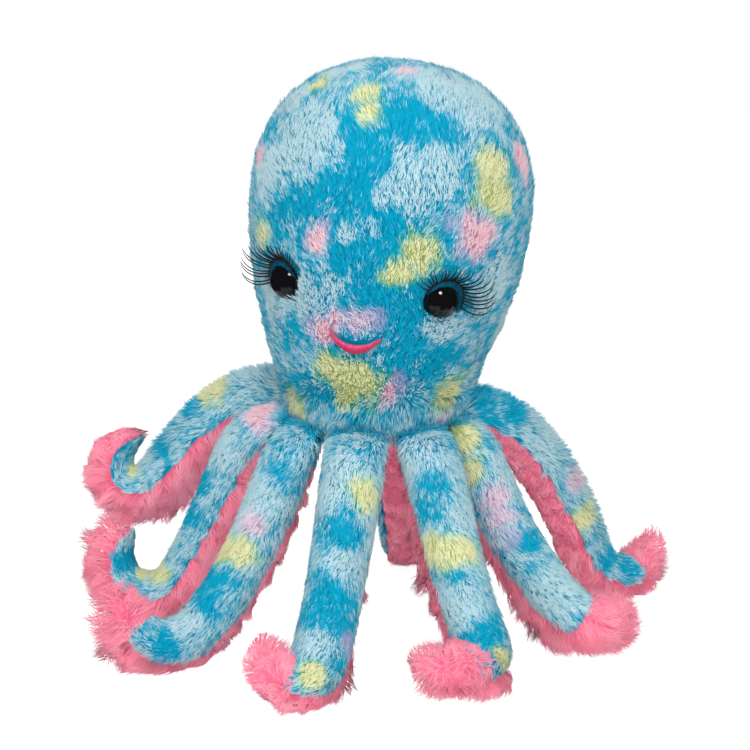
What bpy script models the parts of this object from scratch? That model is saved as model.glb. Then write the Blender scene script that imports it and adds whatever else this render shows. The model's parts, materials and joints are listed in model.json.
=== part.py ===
"""Plush octopus: a stuffed head with safety eyes, on a ring of eight stuffed arms.

Metres, +Z up. The face looks along -Y. The arms rest on the floor at z = 0, and the origin
is the middle of the bounding box, on the floor. Each arm turns at the seam that sews it on.
"""
import math

import bmesh
import bpy
from mathutils import Matrix, Vector

# Head. Its heights run along its own axis, from the ring where the arms are sewn on.
RING_HEIGHT = 0.0945
HEAD_HEIGHT = 0.1465
HEAD_RADIUS = 0.0575
WIDEST_HEIGHT = 0.089
NECK_RADIUS = 0.0343
NECK_TUCK = 0.0031
TUCK_HEIGHT = 0.006
HEM_DROP = 0.004
LEAN_HEIGHT = 0.040
HEAD_LEAN = math.radians(5.6)
CROWN_ROUNDNESS = 2.25
HEAD_COVER = 0.0045
HEAD_BACKING = 0.0015
HEAD_STEPS = 32
SIDE_ROWS = 7
CROWN_ROWS = 6
ROW_SPREAD = 1.3
SURFACE_STEP = 0.00015
SMOOTH_ANGLE = math.radians(50.0)

# Gaps between neighbours
PIECE_GAP = 0.0003
SEAM_GAP = 0.0003
OVERRUN = 0.012
WELD_REACH = 0.00003

# Disc that closes the head inside the ring of arms
DISC_RADIUS = 0.024
DISC_THICKNESS = 0.003

# Safety eyes: a dome with a stem, held by a washer behind the cover
EYE_AZIMUTH = math.radians(37.0)
EYE_HEIGHT = 0.0571
EYE_RADIUS = 0.0075
EYE_RIM = 0.0010
EYE_DOME = 0.0050
STEM_RADIUS = 0.0020
STEM_LENGTH = 0.0095
WASHER_RADIUS = 0.0100
WASHER_THICKNESS = 0.0012
ROUND_STEPS = 20
DOME_STEPS = 5

# Eyelids and lashes. Angles run from the outer corner of an eye, over its top.
LID_RADIUS = 0.0013
LID_HEIGHT = 0.0026
LID_START = math.radians(-15.0)
LID_END = math.radians(165.0)
LID_END_SHARE = 0.45
LID_STATIONS = 12
LID_SIDES = 6
LASH_COUNT = 14
LASH_LENGTH = 0.0110
LASH_THICKNESS = 0.0006
LASH_BAND_RADIUS = 0.0005
LASH_START = math.radians(-8.0)
LASH_END = math.radians(150.0)
LASH_SEAT = math.radians(50.0)
LASH_LIFT = math.radians(68.0)
LASH_CURL = math.radians(62.0)
LASH_TIP_SHARE = 0.4
LASH_STATIONS = 4
LASH_SIDES = 3

# Embroidered mouth, a crescent below and between the eyes
MOUTH_HEIGHT = 0.0350
MOUTH_WIDTH = 0.0205
MOUTH_RISE = 0.0055
MOUTH_THICKNESS = 0.0040
MOUTH_DEPTH = 0.0018
MOUTH_CORNER_SHARE = 0.25
MOUTH_STATIONS = 11
MOUTH_SIDES = 6

# Arms. The hinge of each is the seam on the ring, and its root is rounded about it.
ARM_LENGTH = 0.157
ARM_HALF_WIDTH = 0.0128
ARM_HALF_HEIGHT = 0.0130
ROOT_RADIUS = 0.0020
ROOT_REACH_SHARE = 0.6
ROOT_HEIGHT_SHARE = 0.8
ROOT_WIDTH_SHARE = 0.94
THIN_COVER_SHARE = 0.42
DROOP_FADE_SHARE = 0.7
MOST_DROOP = math.radians(40.0)
SETTLE_TRIES = 40
TOP_COVER = 0.0042
UNDER_COVER = 0.0065
FILL_START = 0.009
FILL_END = 0.010
FOOT_CUT = 0.0005
TOP_SIDES = 5
UNDER_SIDES = 3
TOP_SPAN = math.radians(220.0)
ROUTE_STEPS = 200

# Where along an arm its half width and half height reach which share of their full size
WIDTH_SHARES = ((0.0, 0.94), (0.06, 1.0), (0.18, 0.98), (0.42, 0.90), (0.67, 0.84), (0.85, 0.78),
                (0.94, 0.62), (0.98, 0.42), (1.0, 0.20))
HEIGHT_SHARES = ((0.0, 0.155), (0.02, 0.42), (0.05, 0.73), (0.11, 0.96), (0.24, 1.0), (0.48, 0.96),
                 (0.73, 0.88), (0.88, 0.73), (0.95, 0.54), (0.98, 0.36), (1.0, 0.17))
# The stations stand closer together where an arm narrows and where its tip curls
STATION_SHARES = (0.0, 0.05, 0.12, 0.24, 0.38, 0.50, 0.58, 0.65, 0.72, 0.79, 0.86, 0.92, 0.97, 1.0)

# Rows of an arm's pose: share of its length, pitch, turn from its root's direction, and roll,
# in degrees. A pitch above zero climbs. A turn above zero bends anticlockwise seen from above.
FRONT_SHARES = ((0.0, -45, 0, 0), (0.11, -54, -4, 0), (0.36, -54, -4, 0), (0.62, -47, -4, 0),
                (0.74, -38, -10, 0), (0.81, -10, -46, 16), (0.88, 32, -88, 32), (0.94, 60, -120, 44),
                (1.0, 74, -138, 48))
FRONT_RIGHT_SHARES = ((0.0, -46, 0, 0), (0.13, -58, 2, 0), (0.34, -59, -1, 0), (0.54, -53, -3, 0),
                      (0.68, -42, -10, 0), (0.76, -16, -50, 20), (0.84, 0, -96, 42),
                      (0.92, 8, -142, 56), (1.0, 14, -180, 60))
RIGHT_SHARES = ((0.0, -52, 0, 0), (0.11, -62, -10, 0), (0.28, -60, -16, 0), (0.42, -50, -18, 0),
                (0.57, -44, -19, 0), (0.66, -38, -8, 0), (0.74, -18, 32, -20), (0.82, -4, 76, -40),
                (0.91, 4, 120, -52), (1.0, 8, 156, -56))
BACK_RIGHT_SHARES = ((0.0, -36, 0, 0), (0.05, -24, -2, 0), (0.12, -22, -6, 0), (0.19, -34, -9, 0),
                     (0.29, -49, -10, 0), (0.41, -58, -10, 0), (0.53, -64, -10, 0),
                     (0.65, -62, -10, 0), (0.74, -44, -10, 0), (0.82, -8, -10, 0),
                     (0.90, 42, -10, 0), (1.0, 92, -10, 0))
BACK_SHARES = ((0.0, -45, 0, 0), (0.12, -52, 4, 0), (0.30, -56, 6, 0), (0.45, -51, 6, 0),
               (0.60, -42, 6, 0), (0.68, -26, 6, 0), (0.76, 4, 6, 0), (0.84, 42, 6, 0),
               (0.92, 80, 6, 0), (1.0, 115, 6, 0))
BACK_LEFT_SHARES = ((0.0, -30, 0, 0), (0.05, -4, 16, 0), (0.12, 8, 34, 0), (0.22, -2, 42, 0),
                    (0.30, -28, 46, 0), (0.40, -42, 47, 0), (0.50, -50, 47, 0), (0.60, -48, 47, 0),
                    (0.67, -34, 47, 0), (0.74, 6, 47, 0), (0.80, 50, 47, 0), (0.86, 94, 47, 0),
                    (0.93, 138, 47, 0), (1.0, 172, 47, 0))
LEFT_SHARES = ((0.0, -32, 0, 0), (0.05, -12, 1, 0), (0.10, -14, 3, 0), (0.16, -44, 4, 0),
               (0.22, -59, 4, 0), (0.50, -59, 4, 0), (0.60, -54, 4, 0), (0.68, -22, 4, 0),
               (0.77, 24, 4, 0), (0.86, 78, 4, 0), (0.93, 114, 4, 0), (1.0, 145, 4, 0))
FRONT_LEFT_SHARES = ((0.0, -45, 0, 0), (0.08, -50, -1, 0), (0.22, -56, -3, 0), (0.34, -54, -4, 0),
                     (0.50, -50, -5, 0), (0.64, -42, -5, 0), (0.73, -14, -8, 0), (0.82, 30, -14, 0),
                     (0.90, 56, -20, 0), (0.96, 72, -24, 0), (1.0, 82, -26, 0))

# Name, place on the ring in degrees from the front, share of the full length that is left where
# the soft tip is folded together, pose, and whether the arm stands on the floor
ARM_SHARES = (("front", 0, 0.855, FRONT_SHARES, True),
              ("front_right", 45, 0.83, FRONT_RIGHT_SHARES, True),
              ("right", 90, 0.89, RIGHT_SHARES, True),
              ("back_right", 135, 1.0, BACK_RIGHT_SHARES, True),
              ("back", 180, 1.0, BACK_SHARES, True),
              ("back_left", 225, 0.96, BACK_LEFT_SHARES, False),
              ("left", 270, 0.97, LEFT_SHARES, True),
              ("front_left", 315, 0.90, FRONT_LEFT_SHARES, True))

COLOURS = {"plush": ((0.02, 0.35, 0.55, 1.0), 0.9),
           "shag": ((0.80, 0.09, 0.25, 1.0), 0.95),
           "fill": ((0.85, 0.85, 0.83, 1.0), 1.0),
           "gloss": ((0.01, 0.01, 0.012, 1.0), 0.08),
           "washer": ((0.75, 0.75, 0.73, 1.0), 0.4),
           "lid": ((0.01, 0.20, 0.42, 1.0), 0.85),
           "lash": ((0.02, 0.02, 0.03, 1.0), 0.5),
           "thread": ((0.68, 0.02, 0.13, 1.0), 0.45)}


def clear_scene():
    for obj in list(bpy.data.objects):
        bpy.data.objects.remove(obj)


def material(name):
    if name in bpy.data.materials:
        return bpy.data.materials[name]
    made = bpy.data.materials.new(name)
    made.use_nodes = True
    shader = made.node_tree.nodes["Principled BSDF"]
    colour, roughness = COLOURS[name]
    shader.inputs["Base Color"].default_value = colour
    shader.inputs["Roughness"].default_value = roughness
    shader.inputs["Metallic"].default_value = 0.0
    made.diffuse_color = colour
    return made


def add_object(mesh_maker, name, collection, parent, finish=None):
    """Make an object from a filled bmesh, under its parent, with its place in world terms."""
    mesh = bpy.data.meshes.new(name)
    mesh_maker.to_mesh(mesh)
    mesh_maker.free()
    obj = bpy.data.objects.new(name, mesh)
    collection.objects.link(obj)
    obj.parent = parent
    obj.matrix_parent_inverse = parent.matrix_world.inverted()
    if finish:
        mesh.materials.append(material(finish))
    else:
        obj.hide_render = True
        obj.display_type = "WIRE"
    return obj


def face_out(maker):
    """Turn all faces of a closed solid outwards."""
    bmesh.ops.recalc_face_normals(maker, faces=maker.faces)
    if maker.calc_volume(signed=True) < 0:
        bmesh.ops.reverse_faces(maker, faces=maker.faces)


def smooth(obj):
    obj.data.shade_smooth()
    obj.data.set_sharp_from_angle(angle=SMOOTH_ANGLE)


def read_table(rows, share, column):
    """Straight interpolation down one column of a table whose first column is a share."""
    for low, high in zip(rows, rows[1:]):
        if share <= high[0]:
            part = max(0.0, (share - low[0]) / (high[0] - low[0]))
            return low[column] + (high[column] - low[column]) * part
    return rows[-1][column]


def head_radius(height):
    """Radius of the upright head at a height above the ring."""
    if height < WIDEST_HEIGHT:
        rise = math.sin(math.pi / 2 * max(0.0, height) / WIDEST_HEIGHT)
        tuck = max(0.0, 1.0 - height / TUCK_HEIGHT)
        return NECK_RADIUS + (HEAD_RADIUS - NECK_RADIUS) * rise - NECK_TUCK * min(1.0, tuck) ** 2
    share = min(1.0, (height - WIDEST_HEIGHT) / (HEAD_HEIGHT - WIDEST_HEIGHT))
    return HEAD_RADIUS * (1.0 - share ** CROWN_ROUNDNESS) ** (1.0 / CROWN_ROUNDNESS)


def crown_height(turn):
    """Height on the upper half of the head for a turn of 0 at its side to pi/2 at its top."""
    return WIDEST_HEIGHT + (HEAD_HEIGHT - WIDEST_HEIGHT) * math.sin(turn) ** (2.0 / CROWN_ROUNDNESS)


def head_profile(depth):
    """Points (radius, height) from the hem to the crown, at a depth below the head's surface."""
    heights = [-HEM_DROP, 0.0]
    for row in range(SIDE_ROWS):
        share = (row / (SIDE_ROWS - 1)) ** ROW_SPREAD
        heights.append(TUCK_HEIGHT + (WIDEST_HEIGHT - TUCK_HEIGHT) * share)
    heights += [crown_height(math.pi / 2 * (row + 1) / CROWN_ROWS) for row in range(CROWN_ROWS)]
    outer = [Vector((head_radius(height), height)) for height in heights]
    outer[-1].x = 0.0
    points = []
    for index, point in enumerate(outer):
        before = point - outer[index - 1] if index else outer[1] - point
        after = outer[index + 1] - point if index + 1 < len(outer) else Vector((-1.0, 0.0))
        along = (before.normalized() + after.normalized()).normalized()
        points.append(point - Vector((along.y, -along.x)) * depth / along.dot(before.normalized()))
    points[-1].x = 0.0
    return points


def lean(point):
    """Bend the upright head over towards +X, above the ring."""
    radius = LEAN_HEIGHT / HEAD_LEAN
    height = point.z
    turn = HEAD_LEAN * min(1.0, max(0.0, height / LEAN_HEIGHT))
    spine = Vector((radius * (1.0 - math.cos(turn)), 0.0, radius * math.sin(turn)))
    if height > LEAN_HEIGHT:
        spine += Vector((math.sin(turn), 0.0, math.cos(turn))) * (height - LEAN_HEIGHT)
    elif height < 0.0:
        spine.z = height
    across = Vector((math.cos(turn), 0.0, -math.sin(turn)))
    return spine + across * point.x + Vector((0.0, point.y, RING_HEIGHT))


def head_point(azimuth, height):
    """A place on the head's surface, at an azimuth from the front towards +X."""
    radius = head_radius(height)
    return lean(Vector((radius * math.sin(azimuth), -radius * math.cos(azimuth), height)))


def head_frame(azimuth, height):
    """Surface point with its sideways, upward and outward directions."""
    step = SURFACE_STEP
    turn = SURFACE_STEP / HEAD_RADIUS
    point = head_point(azimuth, height)
    upward = (head_point(azimuth, height + step) - head_point(azimuth, height - step)).normalized()
    sideways = (head_point(azimuth + turn, height) - head_point(azimuth - turn, height)).normalized()
    outward = sideways.cross(upward).normalized()
    return point, sideways, upward, outward


def turned(points, angle, steps, closed):
    """Spin a profile of (radius, height) points about +Z, from -X round by the front to +X."""
    maker = bmesh.new()
    verts = [maker.verts.new((-point.x, 0.0, point.y)) for point in points]
    edges = [maker.edges.new(pair) for pair in zip(verts, verts[1:])]
    if closed:
        edges.append(maker.edges.new((verts[-1], verts[0])))
    bmesh.ops.spin(maker, geom=verts + edges, cent=(0, 0, 0), axis=(0, 0, 1), angle=angle, steps=steps)
    bmesh.ops.remove_doubles(maker, verts=maker.verts, dist=WELD_REACH)
    return maker


def half_space(name, front, cutters, parent):
    """Box over one half of the head, short of the side seams by half their gap."""
    maker = bmesh.new()
    bmesh.ops.create_cube(maker, size=2 * HEAD_HEIGHT)
    shift = HEAD_HEIGHT + SEAM_GAP / 2
    place = Vector((0.0, -shift if front else shift, RING_HEIGHT + HEAD_HEIGHT / 2))
    bmesh.ops.translate(maker, verts=maker.verts, vec=place)
    return add_object(maker, name, cutters, parent)


def head_panel(name, front, collection, cutters, parent):
    """Half of the head's cover, from side seam to side seam, with the pile's depth in its wall."""
    maker = turned(head_profile(0.0), 2 * math.pi, HEAD_STEPS, False)
    for vert in maker.verts:
        vert.co = lean(vert.co)
    middle = Vector((0.0, 0.0, RING_HEIGHT + WIDEST_HEIGHT))
    maker.normal_update()
    top = max(maker.faces, key=lambda item: item.calc_center_median().z)
    if top.normal.dot(top.calc_center_median() - middle) < 0:
        bmesh.ops.reverse_faces(maker, faces=maker.faces)
    obj = add_object(maker, name, collection, parent, "plush")
    wall = obj.modifiers.new("wall", "SOLIDIFY")
    wall.thickness = HEAD_COVER
    wall.offset = -1.0
    wall.use_even_offset = True
    half = obj.modifiers.new("half", "BOOLEAN")
    half.operation = "INTERSECT"
    half.object = half_space(name + "_half", front, cutters, parent)
    return obj


def head_filling(collection, parent):
    """The stuffing of the head, clear of the cover all round."""
    depth = (HEAD_COVER + PIECE_GAP) / math.cos(math.pi / HEAD_STEPS)
    points = [Vector((0.0, -HEM_DROP))] + head_profile(depth)
    maker = turned(points, 2 * math.pi, HEAD_STEPS, False)
    for vert in maker.verts:
        vert.co = lean(vert.co)
    face_out(maker)
    return add_object(maker, "head_stuffing", collection, parent, "fill")


def base_disc(collection, parent):
    """Round patch under the head, inside the ring of arms."""
    maker = bmesh.new()
    bmesh.ops.create_cone(maker, cap_ends=True, segments=HEAD_STEPS, radius1=DISC_RADIUS,
                          radius2=DISC_RADIUS, depth=DISC_THICKNESS)
    height = RING_HEIGHT - HEM_DROP - PIECE_GAP - DISC_THICKNESS / 2
    bmesh.ops.translate(maker, verts=maker.verts, vec=(0.0, 0.0, height))
    return add_object(maker, "base_disc", collection, parent, "shag")


def seat_on_head(maker, azimuth, depth):
    """Move a turned piece from its own axis to the eye's place, at a depth below the surface."""
    point, sideways, upward, outward = head_frame(azimuth, EYE_HEIGHT)
    turn = Matrix((sideways, upward, outward)).transposed()
    for vert in maker.verts:
        vert.co = turn @ vert.co + point - outward * depth
    face_out(maker)


def pile_depth():
    return HEAD_COVER - HEAD_BACKING


def washer_depth():
    """Depth of the washer's front, clear of the curved cover at its edge."""
    inner = HEAD_RADIUS - HEAD_COVER
    bulge = inner - math.sqrt(inner ** 2 - WASHER_RADIUS ** 2)
    facet = HEAD_RADIUS * (1.0 - math.cos(math.pi / HEAD_STEPS))
    return HEAD_COVER + bulge + facet + PIECE_GAP


def make_eye(side, azimuth, collection, cutters, parent):
    """Safety eye with its stem and washer, and the cutters of their places."""
    dome = [Vector((0.0, -STEM_LENGTH)), Vector((STEM_RADIUS, -STEM_LENGTH)),
            Vector((STEM_RADIUS, 0.0)), Vector((EYE_RADIUS, 0.0))]
    for step in range(DOME_STEPS + 1):
        turn = math.pi / 2 * step / DOME_STEPS
        dome.append(Vector((EYE_RADIUS * math.cos(turn), EYE_RIM + EYE_DOME * math.sin(turn))))
    dome[-1].x = 0.0
    maker = turned(dome, 2 * math.pi, ROUND_STEPS, False)
    seat_on_head(maker, azimuth, pile_depth() - PIECE_GAP)
    eye = add_object(maker, "eye_" + side, collection, parent, "gloss")
    smooth(eye)

    hole = STEM_RADIUS + PIECE_GAP
    front = -washer_depth()
    rear = front - WASHER_THICKNESS
    ring = [Vector((hole, rear)), Vector((WASHER_RADIUS, rear)), Vector((WASHER_RADIUS, front)),
            Vector((hole, front))]
    maker = turned(ring, 2 * math.pi, ROUND_STEPS, True)
    seat_on_head(maker, azimuth, 0.0)
    add_object(maker, "eye_washer_" + side, collection, parent, "washer")

    recess = EYE_RADIUS + PIECE_GAP
    floor = -pile_depth()
    place = [Vector((0.0, floor - OVERRUN)), Vector((hole, floor - OVERRUN)), Vector((hole, floor)),
             Vector((recess, floor)), Vector((recess, OVERRUN)), Vector((0.0, OVERRUN))]
    maker = turned(place, 2 * math.pi, ROUND_STEPS, False)
    seat_on_head(maker, azimuth, 0.0)
    panel_cutter = add_object(maker, "eye_place_" + side, cutters, parent)

    pocket = WASHER_RADIUS + PIECE_GAP
    base = rear - PIECE_GAP
    bottom = -pile_depth() - STEM_LENGTH - PIECE_GAP
    space = [Vector((0.0, bottom)), Vector((hole, bottom)), Vector((hole, base)),
             Vector((pocket, base)), Vector((pocket, OVERRUN)), Vector((0.0, OVERRUN))]
    maker = turned(space, 2 * math.pi, ROUND_STEPS, False)
    seat_on_head(maker, azimuth, 0.0)
    filling_cutter = add_object(maker, "washer_place_" + side, cutters, parent)
    return panel_cutter, filling_cutter


def loft(rings):
    """Closed skin through rings of points, with a flat end on the first and the last."""
    maker = bmesh.new()
    rows = [[maker.verts.new(point) for point in ring] for ring in rings]
    for low, high in zip(rows, rows[1:]):
        for index in range(len(low)):
            after = (index + 1) % len(low)
            maker.faces.new((low[index], low[after], high[after], high[index]))
    maker.faces.new(rows[0])
    maker.faces.new(rows[-1])
    face_out(maker)
    return maker


def lid_place(azimuth, turn):
    """Middle line of an eyelid, with its directions away from the eye and out of the head."""
    point, sideways, upward, outward = head_frame(azimuth, EYE_HEIGHT)
    away = sideways * math.copysign(1.0, azimuth)
    radial = away * math.cos(turn) + upward * math.sin(turn)
    middle = point + radial * (EYE_RADIUS + PIECE_GAP + LID_RADIUS)
    return middle + outward * (LID_HEIGHT - pile_depth()), radial, outward


def lid_radius(turn):
    """Radius of an eyelid at a turn, full over the eye and slight at both ends."""
    share = (turn - LID_START) / (LID_END - LID_START)
    return LID_RADIUS * (LID_END_SHARE + (1.0 - LID_END_SHARE) * math.sin(math.pi * share))


def lid_rings(azimuth, grow):
    """Rings along an eyelid, made larger all round by grow."""
    rings = []
    for station in range(LID_STATIONS):
        turn = LID_START + (LID_END - LID_START) * station / (LID_STATIONS - 1)
        centre, radial, outward = lid_place(azimuth, turn)
        radius = lid_radius(turn) + grow
        ring = []
        for side in range(LID_SIDES):
            angle = 2 * math.pi * (side + 0.5) / LID_SIDES
            ring.append(centre + (radial * math.cos(angle) + outward * math.sin(angle)) * radius)
        rings.append(ring)
    return rings


def make_lid(side, azimuth, collection, cutters, parent):
    obj = add_object(loft(lid_rings(azimuth, 0.0)), "eyelid_" + side, collection, parent, "lid")
    smooth(obj)
    return add_object(loft(lid_rings(azimuth, PIECE_GAP)), "lid_place_" + side, cutters, parent)


def lash_seat(azimuth, turn):
    """Middle of the band that holds the lashes, on the front of the eyelid."""
    centre, radial, outward = lid_place(azimuth, turn)
    reach = lid_radius(turn) + PIECE_GAP + LASH_BAND_RADIUS
    return centre + (radial * math.cos(LASH_SEAT) + outward * math.sin(LASH_SEAT)) * reach, radial, outward


def lash_rings(azimuth, turn):
    """Rings along one lash, which curves away from the eye."""
    point, radial, outward = lash_seat(azimuth, turn)
    across = radial.cross(outward)
    rings = []
    for station in range(LASH_STATIONS):
        along = station / (LASH_STATIONS - 1)
        angle = LASH_LIFT - LASH_CURL * along
        heading = radial * math.cos(angle) + outward * math.sin(angle)
        if station:
            point = point + heading * LASH_LENGTH / (LASH_STATIONS - 1)
        over = across.cross(heading)
        radius = LASH_THICKNESS / 2 * (1.0 - (1.0 - LASH_TIP_SHARE) * along)
        ring = []
        for corner in range(LASH_SIDES):
            spin = 2 * math.pi * corner / LASH_SIDES
            ring.append(point + (across * math.cos(spin) + over * math.sin(spin)) * radius)
        rings.append(ring)
    return rings


def make_lashes(side, azimuth, collection, cutters, parent):
    """A thin band on the eyelid with a row of curved lashes that grow out of it."""
    hairs = bmesh.new()
    for lash in range(LASH_COUNT):
        turn = LASH_START + (LASH_END - LASH_START) * lash / (LASH_COUNT - 1)
        piece = loft(lash_rings(azimuth, turn))
        mesh = bpy.data.meshes.new("lash")
        piece.to_mesh(mesh)
        piece.free()
        hairs.from_mesh(mesh)
        bpy.data.meshes.remove(mesh)
    hairs_obj = add_object(hairs, "lash_hairs_" + side, cutters, parent)
    margin = (LASH_END - LASH_START) / (2 * LASH_COUNT)
    rings = []
    for station in range(LID_STATIONS):
        share = station / (LID_STATIONS - 1)
        turn = LASH_START - margin + (LASH_END - LASH_START + 2 * margin) * share
        centre, radial, outward = lash_seat(azimuth, turn)
        ring = []
        for corner in range(LID_SIDES):
            spin = 2 * math.pi * corner / LID_SIDES
            arm = radial * math.cos(spin) + outward * math.sin(spin)
            ring.append(centre + arm * LASH_BAND_RADIUS)
        rings.append(ring)
    band = add_object(loft(rings), "lashes_" + side, collection, parent, "lash")
    joined = band.modifiers.new("hairs", "BOOLEAN")
    joined.operation = "UNION"
    joined.object = hairs_obj


def mouth_rings(grow):
    """Rings along the smile, each lying on the head's surface."""
    rings = []
    for station in range(MOUTH_STATIONS):
        share = 2.0 * station / (MOUTH_STATIONS - 1) - 1.0
        height = MOUTH_HEIGHT + MOUTH_RISE * share ** 2
        azimuth = share * MOUTH_WIDTH / 2 / head_radius(height)
        point, sideways, upward, outward = head_frame(azimuth, height)
        fullness = MOUTH_CORNER_SHARE + (1.0 - MOUTH_CORNER_SHARE) * (1.0 - share ** 2)
        tall = MOUTH_THICKNESS / 2 * fullness + grow
        deep = MOUTH_DEPTH / 2 * (1.0 + fullness) / 2 + grow
        centre = point + sideways * grow * share
        ring = []
        for side in range(MOUTH_SIDES):
            angle = 2 * math.pi * side / MOUTH_SIDES
            ring.append(centre + upward * tall * math.cos(angle) + outward * deep * math.sin(angle))
        rings.append(ring)
    return rings


def arm_route(root, length, pose, droop):
    """Centre line of an arm as (point, along, over, across) steps, from its hinge to its tip.

    droop adds a pitch that fades out along the arm."""
    azimuth = math.radians(root)
    pivot_radius = NECK_RADIUS - NECK_TUCK + PIECE_GAP + ROOT_RADIUS
    pivot_height = RING_HEIGHT - HEM_DROP / 2
    point = Vector((pivot_radius * math.sin(azimuth), -pivot_radius * math.cos(azimuth), pivot_height))
    steps = []
    for step in range(ROUTE_STEPS + 1):
        share = step / ROUTE_STEPS
        pitch = math.radians(read_table(pose, share, 1)) + droop * max(0.0, 1.0 - share / DROOP_FADE_SHARE)
        heading = azimuth + math.radians(read_table(pose, share, 2))
        roll = math.radians(read_table(pose, share, 3))
        level = Vector((math.sin(heading), -math.cos(heading), 0.0))
        along = level * math.cos(pitch) + Vector((0.0, 0.0, math.sin(pitch)))
        over = level * -math.sin(pitch) + Vector((0.0, 0.0, math.cos(pitch)))
        across = along.cross(over)
        turned_over = over * math.cos(roll) + across * math.sin(roll)
        steps.append((point.copy(), along, turned_over, along.cross(turned_over)))
        point = point + along * length / ROUTE_STEPS
    return steps


def arm_stations(route):
    """Stations (point, over, across, half width, half height) for the sections of an arm."""
    point, along, over, across = route[0]
    nose = point - along * ROOT_RADIUS * ROOT_REACH_SHARE
    narrow = ARM_HALF_WIDTH * read_table(WIDTH_SHARES, 0.0, 1) * ROOT_WIDTH_SHARE
    stations = [(nose, over, across, narrow, ROOT_RADIUS * ROOT_HEIGHT_SHARE)]
    for share in STATION_SHARES:
        place = share * ROUTE_STEPS
        point, along, over, across = route[round(place)]
        width = ARM_HALF_WIDTH * read_table(WIDTH_SHARES, share, 1)
        height = ARM_HALF_HEIGHT * read_table(HEIGHT_SHARES, share, 1)
        if share == 0.0:
            height = ROOT_RADIUS
        stations.append((point, over, across, width, height))
    return stations


def section_point(station, angle, depth):
    point, over, across, width, height = station
    side = across * (width - depth) * math.cos(angle)
    return point + side + over * (height - depth) * math.sin(angle)


def section_depth(station, cover):
    """The cover's wall, thinner where the arm is too slight to hold it in full."""
    return min(cover, THIN_COVER_SHARE * min(station[3], station[4]))


def cover_section(station, cover, first, last, sides):
    """Band of one section between two angles: its outer points, then its inner points back."""
    depth = section_depth(station, cover)
    outer = []
    inner = []
    for side in range(sides + 1):
        angle = first + (last - first) * side / sides
        outer.append(section_point(station, angle, 0.0))
        inner.append(section_point(station, angle, depth))
    for end, step in ((0, 1), (-1, -1)):
        edge = outer[end] - inner[end]
        toward = outer[end + step] - outer[end]
        shift = toward - edge * (toward.dot(edge) / edge.length_squared)
        shift = shift.normalized() * SEAM_GAP / 2
        outer[end] = outer[end] + shift
        inner[end] = inner[end] + shift
    return outer, inner


def join_rings(maker, low, high, places):
    """Skin between two rings. Each quad is split from the low ring's earlier corner, so that the
    skins of neighbouring pieces are split alike and nest."""
    count = len(low)
    for index in range(count):
        after = (index + 1) % count
        first, last = (index, after) if places[index] <= places[after] else (after, index)
        if abs(places[index] - places[after]) > 1 and count == len(set(places)):
            first, last = index, after
        maker.faces.new((low[first], low[last], high[last]))
        maker.faces.new((low[first], high[last], high[first]))


def cover_band(stations, cover, first, last, sides):
    """Closed solid of a cover panel that runs the whole length of an arm."""
    maker = bmesh.new()
    rows = []
    for station in stations:
        outer, inner = cover_section(station, cover, first, last, sides)
        rows.append([maker.verts.new(point) for point in outer + inner[::-1]])
    count = len(rows[0])
    places = [side for side in range(sides + 1)] + [side + 0.5 for side in range(sides + 1)][::-1]
    for low, high in zip(rows, rows[1:]):
        join_rings(maker, low, high, places)
    for row in (rows[0], rows[-1]):
        for index in range(sides):
            maker.faces.new((row[index], row[index + 1], row[count - 2 - index], row[count - 1 - index]))
    face_out(maker)
    return maker


def under_angles():
    """First and last angle of the top panel and of the underside, round a section."""
    first = math.pi / 2 - TOP_SPAN / 2
    last = math.pi / 2 + TOP_SPAN / 2
    return first, last, first + 2 * math.pi


def arm_low_point(stations):
    first, last, full = under_angles()
    low = []
    for station in stations:
        for side in range(TOP_SIDES):
            low.append(section_point(station, first + TOP_SPAN * side / TOP_SIDES, 0.0).z)
        for side in range(UNDER_SIDES):
            low.append(section_point(station, last + (full - last) * side / UNDER_SIDES, 0.0).z)
    return min(low)


def settle(root, length, pose):
    """Find the droop that sets an arm's lowest point a foot cut below the floor."""
    low, high = -MOST_DROOP, MOST_DROOP
    for attempt in range(SETTLE_TRIES):
        droop = (low + high) / 2
        if arm_low_point(arm_stations(arm_route(root, length, pose, droop))) < -FOOT_CUT:
            low = droop
        else:
            high = droop
    return (low + high) / 2


def cut_foot(maker):
    """Cut a solid flat at the floor."""
    cut = bmesh.ops.bisect_plane(maker, geom=maker.verts[:] + maker.edges[:] + maker.faces[:],
                                 dist=WELD_REACH, plane_co=(0, 0, 0), plane_no=(0, 0, 1),
                                 clear_inner=True)
    edges = [item for item in cut["geom_cut"] if isinstance(item, bmesh.types.BMEdge)]
    if edges:
        bmesh.ops.holes_fill(maker, edges=edges)
    face_out(maker)


def arm_filling(length, stations):
    """The stuffing of an arm, clear of both covers and short of both ends."""
    first, last, full = under_angles()
    kept = []
    for share, station in zip(STATION_SHARES, stations[1:]):
        if FILL_START <= share * length <= length - FILL_END:
            kept.append(station)
    rings = []
    for station in kept:
        top = section_depth(station, TOP_COVER) + PIECE_GAP
        under = section_depth(station, UNDER_COVER) + PIECE_GAP
        ring = []
        for side in range(TOP_SIDES):
            depth = under if side == 0 else top
            ring.append(section_point(station, first + TOP_SPAN * side / TOP_SIDES, depth))
        for side in range(UNDER_SIDES):
            ring.append(section_point(station, last + (full - last) * side / UNDER_SIDES, under))
        rings.append(ring)
    maker = bmesh.new()
    rows = [[maker.verts.new(point) for point in ring] for ring in rings]
    for low, high in zip(rows, rows[1:]):
        join_rings(maker, low, high, list(range(TOP_SIDES + UNDER_SIDES)))
    maker.faces.new(rows[0])
    maker.faces.new(rows[-1])
    face_out(maker)
    return maker


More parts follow.
